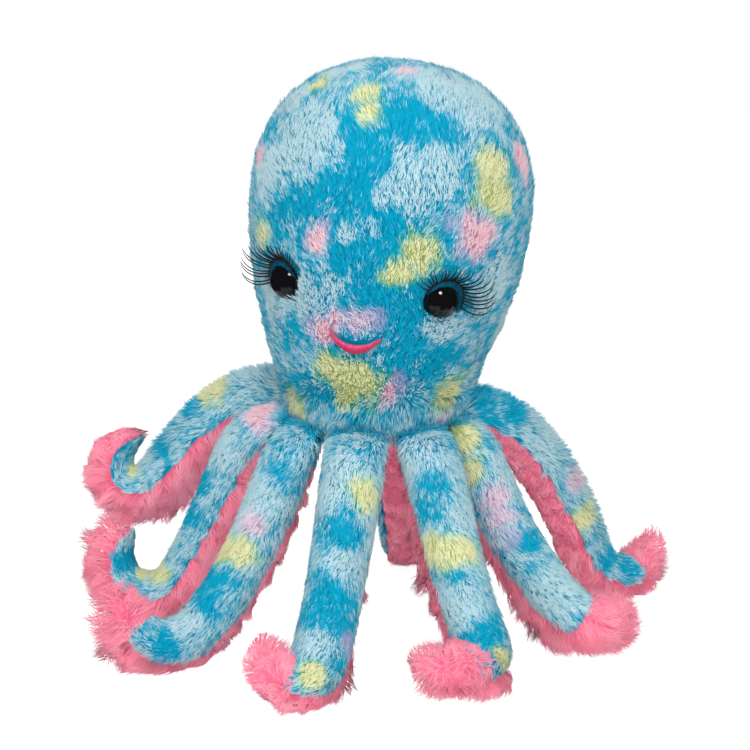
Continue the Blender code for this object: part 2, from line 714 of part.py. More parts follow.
def make_arm(name, root, length, pose, stands, collection, parent):
    """One arm: a plush panel over its top, a shaggy underside, and its stuffing."""
    droop = settle(root, length, pose) if stands else 0.0
    route = arm_route(root, length, pose, droop)
    stations = arm_stations(route)
    first, last, full = under_angles()
    hinge = bpy.data.objects.new("hinge_" + name, None)
    collection.objects.link(hinge)
    hinge.location = route[0][0]
    hinge.rotation_euler = (0.0, 0.0, math.radians(root))
    hinge.empty_display_size = ARM_HALF_WIDTH
    hinge.parent = parent
    bpy.context.view_layer.update()

    maker = cover_band(stations, TOP_COVER, first, last, TOP_SIDES)
    if stands:
        cut_foot(maker)
    top = add_object(maker, "arm_" + name + "_top_panel", collection, hinge, "plush")
    maker = cover_band(stations, UNDER_COVER, last, full, UNDER_SIDES)
    if stands:
        cut_foot(maker)
    under = add_object(maker, "arm_" + name + "_underside", collection, hinge, "shag")
    filling = add_object(arm_filling(length, stations), "arm_" + name + "_stuffing", collection, hinge, "fill")
    for obj in (top, under, filling):
        smooth(obj)


def centre_on_floor(root, collection):
    """Move everything so that the origin is the middle of the bounding box, on the floor."""
    bpy.context.view_layer.update()
    graph = bpy.context.evaluated_depsgraph_get()
    points = []
    for obj in collection.objects:
        if obj.type == "MESH":
            shape = obj.evaluated_get(graph)
            points += [shape.matrix_world @ vert.co for vert in shape.data.vertices]
    middle_x = (min(point.x for point in points) + max(point.x for point in points)) / 2
    middle_y = (min(point.y for point in points) + max(point.y for point in points)) / 2
    root.location = (-middle_x, -middle_y, 0.0)
    bpy.context.view_layer.update()


def main():
    clear_scene()
    collection = bpy.data.collections.new("plush_octopus")
    cutters = bpy.data.collections.new("cutters")
    for group in (collection, cutters):
        bpy.context.scene.collection.children.link(group)
    root = bpy.data.objects.new("plush_octopus_root", None)
    collection.objects.link(root)
    bpy.context.view_layer.update()

    front = head_panel("head_front_panel", True, collection, cutters, root)
    back = head_panel("head_back_panel", False, collection, cutters, root)
    filling = head_filling(collection, root)
    base_disc(collection, root)
    panel_cutters = []
    filling_cutters = []
    for side, azimuth in (("left", -EYE_AZIMUTH), ("right", EYE_AZIMUTH)):
        place, pocket = make_eye(side, azimuth, collection, cutters, root)
        panel_cutters += [place, make_lid(side, azimuth, collection, cutters, root)]
        filling_cutters.append(pocket)
        make_lashes(side, azimuth, collection, cutters, root)
    mouth = add_object(loft(mouth_rings(0.0)), "mouth_embroidery", collection, root, "thread")
    smooth(mouth)
    panel_cutters.append(add_object(loft(mouth_rings(PIECE_GAP)), "mouth_place", cutters, root))
    for obj, tools in ((front, panel_cutters), (filling, filling_cutters)):
        for tool in tools:
            cut = obj.modifiers.new(tool.name, "BOOLEAN")
            cut.operation = "DIFFERENCE"
            cut.object = tool
    for obj in (front, back, filling):
        smooth(obj)
    for name, place, share, pose, stands in ARM_SHARES:
        make_arm(name, place, ARM_LENGTH * share, pose, stands, collection, root)
    centre_on_floor(root, collection)


main()
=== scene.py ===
"""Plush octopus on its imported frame: stuffed skins, dyed pile, shag, eyes, lashes and smile.

Metres, +Z up, the face looks along -Y. Heights on the head run from the ring of arms up its
own axis, and azimuths run from the front towards +X. An arm's share runs from its seam to its
tip, and its angle runs round its section from one side over the top to the other side.
"""

import json
import math

import bmesh
import bpy
import numpy as np
from mathutils import Matrix, Vector
from mathutils.kdtree import KDTree


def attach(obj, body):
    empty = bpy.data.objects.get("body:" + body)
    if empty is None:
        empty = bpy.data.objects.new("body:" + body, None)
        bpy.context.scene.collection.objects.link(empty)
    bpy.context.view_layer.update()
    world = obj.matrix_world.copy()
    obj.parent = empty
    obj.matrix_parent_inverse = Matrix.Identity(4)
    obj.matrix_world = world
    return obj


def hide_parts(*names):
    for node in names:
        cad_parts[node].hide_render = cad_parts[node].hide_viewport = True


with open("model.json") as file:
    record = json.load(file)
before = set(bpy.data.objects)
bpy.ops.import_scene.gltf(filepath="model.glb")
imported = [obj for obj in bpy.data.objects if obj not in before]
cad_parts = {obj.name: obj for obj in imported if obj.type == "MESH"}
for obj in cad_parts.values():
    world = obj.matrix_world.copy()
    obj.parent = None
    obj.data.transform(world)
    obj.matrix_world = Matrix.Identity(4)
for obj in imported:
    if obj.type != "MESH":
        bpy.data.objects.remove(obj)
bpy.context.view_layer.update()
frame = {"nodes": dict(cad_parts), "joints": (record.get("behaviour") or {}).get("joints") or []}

# Head, as in the part's own solids
RING_HEIGHT = 0.0945
HEAD_HEIGHT = 0.1465
HEAD_RADIUS = 0.0575
WIDEST_HEIGHT = 0.089
NECK_RADIUS = 0.0343
NECK_TUCK = 0.0031
TUCK_HEIGHT = 0.006
HEM_DROP = 0.004
LEAN_HEIGHT = 0.040
HEAD_LEAN = math.radians(5.6)
CROWN_ROUNDNESS = 2.25
LOWER_ROWS = 35
UPPER_ROWS = 28
PILE_DEPTH = 0.0030
SIDES = ("left", "right")
EYE_AZIMUTH = math.radians(37.0)
EYE_HEIGHT = 0.0571
EYE_RADIUS = 0.0075
EYE_DROP = 0.0009
EYE_STEPS = 22
STEM_RADIUS = 0.0020
STEM_LENGTH = 0.0095
LID_INSIDE = 0.0066
LID_RISE = 0.0034
LID_SLOPE = math.radians(40.0)
LID_HALF_WIDTH = 0.0025
LID_HALF_THICKNESS = 0.00045
LID_STEPS = 40
LID_START = math.radians(-28.0)
LID_END = math.radians(160.0)
LASH_START = math.radians(-18.0)
LASH_END = math.radians(150.0)
LASH_COUNT = 22
LASH_STEPS = 10
LASH_LENGTH = 0.0172
LASH_RADIUS = 0.00034
LASH_BAND_RADIUS = 0.00042
LASH_BAND_STEPS = 28
MOUTH_HEIGHT = 0.0350
MOUTH_WIDTH = 0.0205
MOUTH_RISE = 0.0055
MOUTH_THICKNESS = 0.0040
MOUTH_DEPTH = 0.0026
SMILE_RINGS = 40
SMILE_STEPS = 60
STITCH_COUNT = 30
STITCH_RINGS = 9
STITCH_SIDES = 6
STITCH_RADIUS = 0.00038
STITCH_LIFT = -0.00008
PIECE_GAP = 0.0003
LID_CLEARINGS = 12
SMILE_CLEARINGS = 16

# Arms, as in the part's own solids
ARM_HALF_WIDTH = 0.0128
ARM_HALF_HEIGHT = 0.0130
ROOT_RADIUS = 0.0020
DROOP_FADE = 0.7
TOP_PILE_DEPTH = 0.0027
SHAG_DEPTH = 0.0050
FILL_CLEARANCE = 0.0008
ROUTE_STEPS = 200
ARM_SIDES = 36
ARM_STATIONS = (0, 2, 4, 7, 10, 14, 18, 22, *range(26, 183, 3), 185, 188, 191, 194, 196, 198, 200)
WIDTH_TABLE = ((0.0, 0.94), (0.06, 1.0), (0.18, 0.98), (0.42, 0.90), (0.67, 0.84), (0.85, 0.78),
               (0.94, 0.62), (0.98, 0.42), (1.0, 0.20))
HEIGHT_TABLE = ((0.0, 0.155), (0.02, 0.42), (0.05, 0.73), (0.11, 0.96), (0.24, 1.0), (0.48, 0.96),
                (0.73, 0.88), (0.88, 0.73), (0.95, 0.54), (0.98, 0.36), (1.0, 0.17))

# Each arm: place on the ring, length, settled droop, the share where the plush ends, and rows
# of share, pitch, turn and roll. Dye spots of each kind follow: share, angle and radius in
# millimetres.
ARMS = {
    "front": (0, 0.134235, -7.701, 0.86,
        ((0.0, -45, 0, 0), (0.11, -54, -4, 0), (0.36, -54, -4, 0), (0.62, -47, -4, 0),
         (0.74, -38, -10, 0), (0.81, -10, -46, 16), (0.88, 32, -88, 32), (0.94, 60, -120, 44),
         (1.0, 74, -138, 48)),
        {"yellow": ((0.19, 140, 6.0), (0.79, 150, 5.0)),
         "violet": ((0.64, 165, 4.0),),
         "deep": ((0.31, 100, 7.5), (0.52, 100, 9.5), (0.6, 105, 9.5), (0.71, 150, 4.5)),
         "pale": ((0.12, 100, 5.0), (0.42, 130, 5.5), (0.69, 100, 6.0), (0.25, 165, 5.0),
                  (0.2, 60, 7.0))}),
    "front_right": (45, 0.13031, -11.892, 0.83,
        ((0.0, -46, 0, 0), (0.13, -58, 2, 0), (0.34, -59, -1, 0), (0.54, -53, -3, 0),
         (0.68, -42, -10, 0), (0.76, -16, -50, 20), (0.84, 0, -96, 42), (0.92, 8, -142, 56),
         (1.0, 14, -180, 60)),
        {"yellow": ((0.36, 30, 6.5), (0.38, 75, 6.0), (0.76, 175, 4.0)),
         "deep": ((0.16, 50, 3.6), (0.23, 20, 4.5), (0.47, 50, 3.5), (0.7, 80, 8.0),
                  (0.78, 150, 4.5)),
         "pale": ((0.55, 30, 8.0), (0.06, 10, 6.0), (0.27, 110, 6.0))}),
    "right": (90, 0.13973, -5.294, 0.70,
        ((0.0, -52, 0, 0), (0.11, -62, -10, 0), (0.28, -60, -16, 0), (0.42, -50, -18, 0),
         (0.57, -44, -19, 0), (0.66, -38, -8, 0), (0.74, -18, 32, -20), (0.82, -4, 76, -40),
         (0.91, 4, 120, -52), (1.0, 8, 156, -56)),
        {"yellow": ((0.04, 20, 6.0), (0.14, 0, 5.5)),
         "blush": ((0.24, 42, 5.6), (0.31, 26, 5.0)),
         "violet": ((0.36, 20, 5.0),),
         "deep": ((0.41, 60, 4.5), (0.5, 30, 3.5)),
         "pale": ((0.58, 40, 9.0), (0.2, 90, 6.0))}),
    "back_right": (135, 0.157, 5.696, 0.9,
        ((0.0, -36, 0, 0), (0.05, -24, -2, 0), (0.12, -22, -6, 0), (0.19, -34, -9, 0),
         (0.29, -49, -10, 0), (0.41, -58, -10, 0), (0.53, -64, -10, 0), (0.65, -62, -10, 0),
         (0.74, -44, -10, 0), (0.82, -8, -10, 0), (0.90, 42, -10, 0), (1.0, 92, -10, 0)),
        {"yellow": ((0.54, 20, 5.5), (0.62, 120, 6.0)),
         "blush": ((0.44, 50, 5.4),),
         "deep": ((0.09, 60, 8.0), (0.17, 50, 6.0), (0.7, 30, 5.0), (0.8, 40, 5.0)),
         "pale": ((0.31, 40, 8.0), (0.48, 80, 6.0))}),
    "back": (180, 0.157, -0.849, 0.9,
        ((0.0, -45, 0, 0), (0.12, -52, 4, 0), (0.30, -56, 6, 0), (0.45, -51, 6, 0),
         (0.60, -42, 6, 0), (0.68, -26, 6, 0), (0.76, 4, 6, 0), (0.84, 42, 6, 0),
         (0.92, 80, 6, 0), (1.0, 115, 6, 0)),
        {"yellow": ((0.34, 80, 7.0),),
         "pink": ((0.44, 40, 5.0),),
         "deep": ((0.14, 90, 7.0), (0.55, 90, 9.0)),
         "pale": ((0.68, 90, 7.0), (0.24, 120, 6.0))}),
    "back_left": (225, 0.15072, 0.0, 1.01,
        ((0.0, -30, 0, 0), (0.05, -4, 16, 0), (0.12, 8, 34, 0), (0.22, -2, 42, 0),
         (0.30, -28, 46, 0), (0.40, -42, 47, 0), (0.50, -50, 47, 0), (0.60, -48, 47, 0),
         (0.67, -34, 47, 0), (0.74, 6, 47, 0), (0.80, 50, 47, 0), (0.86, 94, 47, 0),
         (0.93, 138, 47, 0), (1.0, 172, 47, 0)),
        {"yellow": ((0.14, 100, 5.5), (0.33, 100, 6.0), (0.74, 100, 4.5)),
         "deep": ((0.4, 100, 4.5), (0.54, 120, 4.0)),
         "pale": ((0.24, 90, 7.0), (0.64, 100, 6.0))}),
    "left": (270, 0.15229, -13.66, 1.01,
        ((0.0, -32, 0, 0), (0.05, -12, 1, 0), (0.10, -14, 3, 0), (0.16, -44, 4, 0),
         (0.22, -59, 4, 0), (0.50, -59, 4, 0), (0.60, -54, 4, 0), (0.68, -22, 4, 0),
         (0.77, 24, 4, 0), (0.86, 78, 4, 0), (0.93, 114, 4, 0), (1.0, 145, 4, 0)),
        {"yellow": ((0.6, 110, 6.0), (0.74, 95, 4.0)),
         "pink": ((0.08, 120, 6.0),),
         "deep": ((0.3, 100, 7.0), (0.4, 110, 6.0), (0.88, 100, 7.0)),
         "pale": ((0.18, 130, 8.0), (0.5, 90, 6.0))}),
    "front_left": (315, 0.1413, -15.046, 0.91,
        ((0.0, -45, 0, 0), (0.08, -50, -1, 0), (0.22, -56, -3, 0), (0.34, -54, -4, 0),
         (0.50, -50, -5, 0), (0.64, -42, -5, 0), (0.73, -14, -8, 0), (0.82, 30, -14, 0),
         (0.90, 56, -20, 0), (0.96, 72, -24, 0), (1.0, 82, -26, 0)),
        {"yellow": ((0.4, 85, 6.5), (0.39, 125, 6.0)),
         "blush": ((0.31, 125, 4.6),),
         "violet": ((0.3, 110, 5.0),),
         "deep": ((0.52, 100, 8.0), (0.59, 125, 6.0), (0.79, 150, 5.0), (0.15, 130, 5.0)),
         "pale": ((0.22, 100, 8.0), (0.67, 110, 6.5))}),
}

# Degrees by which the plush is turned round each arm at its seam and further out, so that the
# shag shows on one side. Then how full the pile on top is, the shag below and that of the foot,
# and how far the foot's shag lies to the right and up.
ARM_COATS = {"front": (2, 2, 1.0, 0.85, 0.62, 0.45, 0.60),
             "front_right": (-8, -14, 1.0, 1.0, 0.84, 1.0, -0.30),
             "right": (-2, -2, 1.0, 0.80, 0.92, -0.20, -0.70),
             "back_right": (-20, -17, 1.6, 0.32, 0.70, 0.30, -0.20),
             "back": (0, 0, 1.0, 0.35, 0.5, 0.0, 0.0),
             "back_left": (14, 30, 1.6, 1.0, 0.42, 0.0, -0.70),
             "left": (4, 28, 1.0, 0.95, 1.35, -0.80, -0.05),
             "front_left": (2, 2, 1.0, 0.58, 1.22, 0.10, -0.80)}

# Dye spots of each kind on the head: azimuth in degrees, height and radius in millimetres
HEAD_DYES = {
    "yellow": ((-9, 133, 5.8), (-3, 126, 5.6), (-50, 134, 5.0), (55, 110, 8.8), (56, 99, 8.6),
               (24, 75, 7.6), (17, 67, 6.0), (12, 64, 4.2), (-12, 23, 7.8), (3, 19, 8.5),
               (-2, 14, 6.0), (-51, 72, 6.0), (59, 15, 7.4), (-49, 9, 6.0), (128, 96, 9.0),
               (135, 87, 6.5), (162, 124, 5.0), (171, 117, 6.5), (-152, 74, 8.5),
               (-144, 82, 6.0), (-118, 121, 6.0), (178, 38, 8.5), (-171, 32, 6.0),
               (-104, 26, 5.5)),
    "pink": ((11, 143, 4.5), (49, 82, 8.6), (45, 86, 6.0), (81, 110, 7.0), (-65, 102, 5.5),
             (-19, 74.5, 5.4), (-16, 40, 6.2), (-9, 45, 4.6), (18, 16, 5.4), (145, 77, 6.5),
             (-136, 50, 7.5), (179, 110, 4.5), (116, 40, 6.0)),
    "blush": ((62, 6, 5.5), (2, 45, 5.4)),
    "violet": ((-2, 45, 5.6), (10, 46, 4.6), (24, 20, 4.6), (-18, 81, 4.5), (36, 87, 4.5),
               (151, 71, 4.6), (-129, 45, 4.6), (-160, 68, 4.5)),
    "deep": ((-14, 122, 6.2), (-1, 114, 9.0), (12, 124, 8.6), (26, 122, 8.6), (3, 107, 6.2),
             (-4, 99, 7.2), (-14, 94, 8.0), (-26, 88, 7.0), (-38, 83, 5.0), (-8, 84, 6.4),
             (4, 89, 6.0), (14, 86, 8.0), (-5, 71, 8.0), (8, 60, 10.0), (21, 48, 10.0),
             (27, 37, 8.0), (10, 74, 6.4), (33, 82, 5.0), (46, 71, 5.4), (43, 31, 8.0),
             (23, 27, 6.4), (35, 121, 5.4), (-34, 38, 4.4), (28, 58, 6.0), (108, 74, 12.0),
             (140, 112, 12.0), (168, 88, 13.0), (-158, 60, 12.0), (-128, 94, 12.0),
             (-96, 64, 11.0), (146, 32, 11.0), (-148, 130, 10.0)),
    # The first four pale spots, large and fully frosted on the upper left of the head, are partly
    # the pile's own frost and partly a painted highlight where the light falls from the upper left
    "pale": ((-34, 113, 14.5), (-50, 99, 10.5), (-43, 104, 8.0), (-59, 127, 7.5),
             (56, 135, 15.0), (33, 141, 9.5), (17, 99, 8.6), (29, 107, 8.6), (7, 94, 4.5),
             (-27, 52, 7.5), (-11, 57, 4.5), (39, 45, 6.5), (63, 61, 9.5), (89, 41, 7.5),
             (-5, 79, 4.0), (-49, 47, 7.0), (12, 112, 4.0), (-51, 139, 6.0), (-42, 143, 6.0),
             (122, 128, 12.0), (150, 50, 10.0), (-175, 74, 10.0), (-112, 80, 10.0),
             (-140, 30, 10.0), (178, 136, 10.0))}

# Pile and shag. Round an arm they meet at SEAM_RISE, where 1 is on top and -1 below. Along it
# they end and start a little before the share where the plush ends.
HEAD_STRANDS = 116000
TOP_STRANDS = 27000
SHAG_STRANDS = 16000
HEAD_PILE_LENGTH = 0.0054
ARM_PILE_LENGTH = 0.0054
SHAG_LENGTH = 0.0105
PILE_RADIUS = 0.00019
SHAG_RADIUS = 0.00022
SINK = 0.0006
SEAM_RISE = -0.34
PLUSH_STOP = 0.012
SHAG_START = 0.010
HEM_CLEARANCE = 0.0004
FLOOR_LIFT = 0.0004
FLOOR_SCATTER = 0.0008
LENGTH_SPREAD = (0.8, 1.15)
RADIUS_SPREAD = (0.75, 1.25)
ROOT_THICKNESS = 1.15
TAPER = 0.35
DYE_EDGE = (1.70, 0.40)
FROST_EDGE = 1.05
BLUSH = 0.62
BRIGHT_FROST = 0.74
TUFT_LUCK = 0.40
RIPPLE_WAVES = 8
TUFT_SIZE = 9
SHAG_TUFT_SIZE = 50
TUFT_CORE_DEPTH = 0.002
KNIT_SCALE = 1500.0
KNIT_RELIEF = 0.0003

# Frost of the pile: its usual chance, how much that wanders, the least and the most that deep
# and pale spots make of it, and how softly these end
# On the head the most frost is above 1, so pale spots are fully frosted; on the upper left this is
# partly a painted highlight
HEAD_FROST = (0.46, 0.16, 0.05, 1.16, 0.5)
ARM_FROST = (0.62, 0.12, 0.10, 0.94, 0.75)

joints = {joint["child"]: joint for joint in frame["joints"]}
PIVOTS = {name: Vector(joints["arm_" + name]["pos_m"]) for name in ARMS}
CENTRE = sum(PIVOTS.values(), Vector()) / len(PIVOTS)


def read_table(rows, share, column):
    """Straight interpolation down one column of a table whose first column is a share."""
    for low, high in zip(rows, rows[1:]):
        if share <= high[0]:
            part = max(0.0, (share - low[0]) / (high[0] - low[0]))
            return low[column] + (high[column] - low[column]) * part
    return rows[-1][column]


def fade(low, high, value):
    """Smooth step from 0 at low to 1 at high. Low may be the larger."""
    part = np.clip((value - low) / (high - low), 0.0, 1.0)
    return part * part * (3.0 - 2.0 * part)


def unit(vectors):
    return vectors / np.maximum(np.linalg.norm(vectors, axis=-1, keepdims=True), 1e-9)


def ripple(points, size, seed):
    """Smooth irregular field over points, about -1 to 1, whose bumps are about size apart."""
    dice = np.random.default_rng(seed)
    total = np.zeros(len(points))
    for _ in range(RIPPLE_WAVES):
        way = dice.normal(size=3)
        way *= 2 * math.pi / size * dice.uniform(0.6, 1.5) / np.linalg.norm(way)
        total += np.sin(points @ way + dice.uniform(0, 2 * math.pi))
    return total / 3.0


# Head surface

def head_radius(height):
    if height < WIDEST_HEIGHT:
        rise = math.sin(math.pi / 2 * max(0.0, height) / WIDEST_HEIGHT)
        tuck = max(0.0, 1.0 - height / TUCK_HEIGHT)
        return NECK_RADIUS + (HEAD_RADIUS - NECK_RADIUS) * rise - NECK_TUCK * min(1.0, tuck) ** 2
    share = min(1.0, (height - WIDEST_HEIGHT) / (HEAD_HEIGHT - WIDEST_HEIGHT))
    return HEAD_RADIUS * (1.0 - share ** CROWN_ROUNDNESS) ** (1.0 / CROWN_ROUNDNESS)


def lean(point):
    """Bend the upright head over towards +X and set it on the ring of arms."""
    radius = LEAN_HEIGHT / HEAD_LEAN
    turn = HEAD_LEAN * min(1.0, max(0.0, point.z / LEAN_HEIGHT))
    spine = Vector((radius * (1.0 - math.cos(turn)), 0.0, radius * math.sin(turn)))
    if point.z > LEAN_HEIGHT:
        spine += Vector((math.sin(turn), 0.0, math.cos(turn))) * (point.z - LEAN_HEIGHT)
    elif point.z < 0.0:
        spine.z = point.z
    across = Vector((math.cos(turn), 0.0, -math.sin(turn)))
    return spine + across * point.x + Vector((CENTRE.x, CENTRE.y + point.y, RING_HEIGHT))


def head_point(azimuth, height):
    radius = head_radius(height)
    return lean(Vector((radius * math.sin(azimuth), -radius * math.cos(azimuth), height)))


def head_frame(azimuth, height):
    """Surface point with its sideways, upward and outward directions."""
    step = HEAD_HEIGHT / 1000.0
    point = head_point(azimuth, height)
    upward = (head_point(azimuth, height + step) - head_point(azimuth, height - step)).normalized()
    sideways = (head_point(azimuth + 0.01, height)
                - head_point(azimuth - 0.01, height)).normalized()
    return point, sideways, upward, sideways.cross(upward).normalized()


# Mesh making

def put_in_scene(name, data):
    made = bpy.data.objects.new(name, data)
    bpy.context.scene.collection.objects.link(made)
    return made


def put_mesh(maker, name, material):
    """Object made of a bmesh, which is used up. An extrusion lists its faces in a new order
    each run, so they are put in a fixed one."""
    maker.verts.index_update()
    count = len(maker.verts)

    def rank(face):
        low, middle, high = sorted(vert.index for vert in face.verts)[:3]
        return (low * count + middle) * count + high

    maker.faces.sort(key=rank)
    mesh = bpy.data.meshes.new(name)
    maker.to_mesh(mesh)
    maker.free()
    mesh.materials.append(material)
    return put_in_scene(name, mesh)


def finish_mesh(maker, name, material, body):
    """Turn a bmesh into a smooth piece that faces outwards and rides on a body."""
    bmesh.ops.recalc_face_normals(maker, faces=maker.faces)
    if maker.calc_volume(signed=True) < 0:
        bmesh.ops.reverse_faces(maker, faces=maker.faces)
    piece = put_mesh(maker, name, material)
    piece.data.shade_smooth()
    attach(piece, body)
    return piece


def add_tube(maker, rings):
    """Draw a ring of points out through further rings, and close both ends."""
    made = bmesh.ops.create_circle(maker, segments=len(rings[0]), radius=1.0)
    verts = made["verts"]
    for vert, point in zip(verts, rings[0]):
        vert.co = point
    edges = [maker.edges.get((a, b)) for a, b in zip(verts, verts[1:] + verts[:1])]
    bmesh.ops.contextual_create(maker, geom=edges)
    for ring in rings[1:]:
        drawn = bmesh.ops.extrude_edge_only(maker, edges=edges)["geom"]
        places = {tuple(item.co): item for item in drawn
                  if isinstance(item, bmesh.types.BMVert)}
        verts = [places[tuple(vert.co)] for vert in verts]
        for vert, point in zip(verts, ring):
            vert.co = point
        edges = [maker.edges.get((a, b)) for a, b in zip(verts, verts[1:] + verts[:1])]
    bmesh.ops.contextual_create(maker, geom=edges)


def turned(profile, steps):
    """Spin a profile of (radius, height) points all the way round +Z."""
    maker = bmesh.new()
    verts = [maker.verts.new((-radius, 0.0, height)) for radius, height in profile]
    edges = [maker.edges.new(pair) for pair in zip(verts, verts[1:])]
    bmesh.ops.spin(maker, geom=verts + edges, cent=(0, 0, 0), axis=(0, 0, 1), angle=2 * math.pi,
                   steps=steps, use_merge=True)
    bmesh.ops.remove_doubles(maker, verts=maker.verts, dist=0.00001)
    return maker


def ring_round(centre, first, second, radius_first, radius_second, sides):
    ring = []
    for side in range(sides):
        angle = 2 * math.pi * side / sides
        ring.append(centre + first * radius_first * math.cos(angle)
                    + second * radius_second * math.sin(angle))
    return ring


# Materials

def set_inputs(tree, node, inputs):
    """Give a node's inputs plain values or the outputs of other nodes."""
    for key, value in inputs.items():
        if hasattr(value, "links"):
            tree.links.new(value, node.inputs[key])
        else:
            node.inputs[key].default_value = value
    return node


def add_node(tree, kind, inputs=None, **settings):
    node = tree.nodes.new(kind)
    for key, value in settings.items():
        setattr(node, key, value)
    return set_inputs(tree, node, inputs or {})


def blend_colour(tree, amount, low, high, kind="MIX"):
    low, high = ((*end, 1.0) if isinstance(end, tuple) else end for end in (low, high))
    return add_node(tree, "ShaderNodeMix", {0: amount, 6: low, 7: high}, data_type="RGBA",
                    blend_type=kind, clamp_factor=True).outputs[2]


def step_of(tree, value, low, high):
    """Smooth step of a value from 0 at low to 1 at high."""
    return add_node(tree, "ShaderNodeMapRange",
                    {"Value": value, "From Min": low, "From Max": high},
                    interpolation_type="SMOOTHSTEP").outputs["Result"]


def times(tree, first, second):
    return add_node(tree, "ShaderNodeMath", {0: first, 1: second}, operation="MULTIPLY").outputs[0]


def noise_of(tree, scale, detail):
    """Noise on object coordinates."""
    place = add_node(tree, "ShaderNodeTexCoord").outputs["Object"]
    return add_node(tree, "ShaderNodeTexNoise",
                    {"Vector": place, "Scale": scale, "Detail": detail}).outputs["Fac"]


def read_attribute(tree, name):
    node = add_node(tree, "ShaderNodeAttribute", attribute_name=name)
    return add_node(tree, "ShaderNodeSeparateXYZ", {0: node.outputs["Vector"]}).outputs


def new_group(name, kind, inputs, output):
    """Group of nodes with inputs and one output of one kind, and what it is given."""
    tree = bpy.data.node_groups.new(name, "ShaderNodeTree")
    for label, value in inputs.items():
        tree.interface.new_socket(label, in_out="INPUT", socket_type=kind).default_value = value
    tree.interface.new_socket(output, in_out="OUTPUT", socket_type=kind)
    return tree, add_node(tree, "NodeGroupInput").outputs


# Dyes of a strand in the order in which they cover one another: kind, the shares of it at
# which its colour starts and is full, and the colour. Pink and yellow first show the colour
# that they make where they meet blue.
DEEP_BLUE = (0.0, 0.38, 0.57)
DARK_BLUE = (0.0, 0.30, 0.48)
DYE_STEPS = (("violet", 0.10, 0.80, (0.30, 0.38, 0.60)),
             ("pink", 0.05, 0.50, (0.38, 0.38, 0.60)),
             ("pink", 0.40, 0.90, (0.78, 0.36, 0.45)),
             ("yellow", 0.05, 0.45, (0.02, 0.42, 0.36)),
             ("yellow", 0.35, 0.85, (0.56, 0.59, 0.22)))
FROST = (0.63, 0.76, 0.76)
FROST_STEPS = (("pink", (0.88, 0.68, 0.72)), ("yellow", (0.80, 0.80, 0.54)))
FROST_SHARE = 0.76
# Painted shade: strands cast no shadow, so their roots, and the backing seen between them, are
# darkened by this colour instead
ROOT_SHADE = (0.55, 0.65, 0.70)


def strand_group():
    """Colour of a dyed strand: its dye, its frosted tip, its root darkened by painted shade and
    its own tone.
    """
    tree, given = new_group("dyed_strand", "NodeSocketColor",
                            {"Deep": (*DEEP_BLUE, 1.0), "Frost": (*FROST, 1.0)}, "Colour")
    level, frost, own = read_attribute(tree, "pile")
    dyes = dict(zip(("yellow", "pink", "violet"), read_attribute(tree, "dye")))
    colour = blend_colour(tree, times(tree, own, 0.6), given["Deep"], DARK_BLUE)
    for kind, low, high, paint in DYE_STEPS:
        colour = blend_colour(tree, step_of(tree, dyes[kind], low, high), colour, paint)
    pale = given["Frost"]
    for kind, paint in FROST_STEPS:
        pale = blend_colour(tree, step_of(tree, dyes[kind], 0.2, 0.8), pale, paint)
    tinted = blend_colour(tree, FROST_SHARE, colour, pale)
    tip = times(tree, step_of(tree, level, 0.20, 0.70), frost)
    colour = blend_colour(tree, tip, colour, tinted)
    # Painted shade on the lower part of each strand
    dark = blend_colour(tree, 1.0, colour, ROOT_SHADE, "MULTIPLY")
    colour = blend_colour(tree, step_of(tree, level, 0.0, 0.65), dark, colour)
    add_node(tree, "NodeGroupOutput", {"Colour": colour})
    return tree


def shag_group():
    """Colour of a strand of shag: deep pink at the root, paler at the tip, with its own tone. The
    dark roots are partly the dye and partly painted shade deep in the shag, in valleys and at tuft
    edges.
    """
    tree, given = new_group("shag_strand", "NodeSocketColor", {
        "Root": (0.84, 0.12, 0.21, 1.0), "Tip": (1.0, 0.35, 0.45, 1.0)}, "Colour")
    level, tuft, own = read_attribute(tree, "pile")
    faded = times(tree, step_of(tree, level, 0.65, 1.0), own)
    colour = blend_colour(tree, step_of(tree, level, 0.05, 0.8), given["Root"], given["Tip"])
    for value, share, paint in ((own, 0.45, (0.98, 0.46, 0.55)), (tuft, 0.50, (0.86, 0.16, 0.26)),
                                (faded, 0.80, (1.0, 0.56, 0.64))):
        colour = blend_colour(tree, times(tree, value, share), colour, paint)
    add_node(tree, "NodeGroupOutput", {"Colour": colour})
    return tree


def cloth_bump_group():
    """Knit or felt relief from fine noise."""
    tree, given = new_group("cloth_relief", "NodeSocketFloat", {"Scale": 2500.0}, "Height")
    add_node(tree, "NodeGroupOutput", {"Height": noise_of(tree, given["Scale"], 4.0)})
    return tree


GROUPS = {"strand": strand_group(), "shag": shag_group(), "relief": cloth_bump_group()}


def add_group(tree, group, inputs=None):
    return add_node(tree, "ShaderNodeGroup", inputs, node_tree=GROUPS[group]).outputs[0]


def new_material(name, roughness, sheen, specular):
    made = bpy.data.materials.new(name)
    made.use_nodes = True
    tree = made.node_tree
    shader = set_inputs(tree, tree.nodes["Principled BSDF"], {
        "Roughness": roughness, "Sheen Weight": sheen, "Sheen Roughness": 0.5,
        "Specular IOR Level": specular})
    return made, tree, shader


def add_relief(tree, shader, scale, relief):
    bump = add_node(tree, "ShaderNodeBump", {
        "Strength": 0.6, "Distance": relief,
        "Height": add_group(tree, "relief", {"Scale": scale})})
    set_inputs(tree, shader, {"Normal": bump.outputs["Normal"]})


def strand_material(name, group):
    made, tree, shader = new_material(name, roughness=0.85, sheen=0.0, specular=0.1)
    set_inputs(tree, shader, {"Base Color": add_group(tree, group)})
    return made


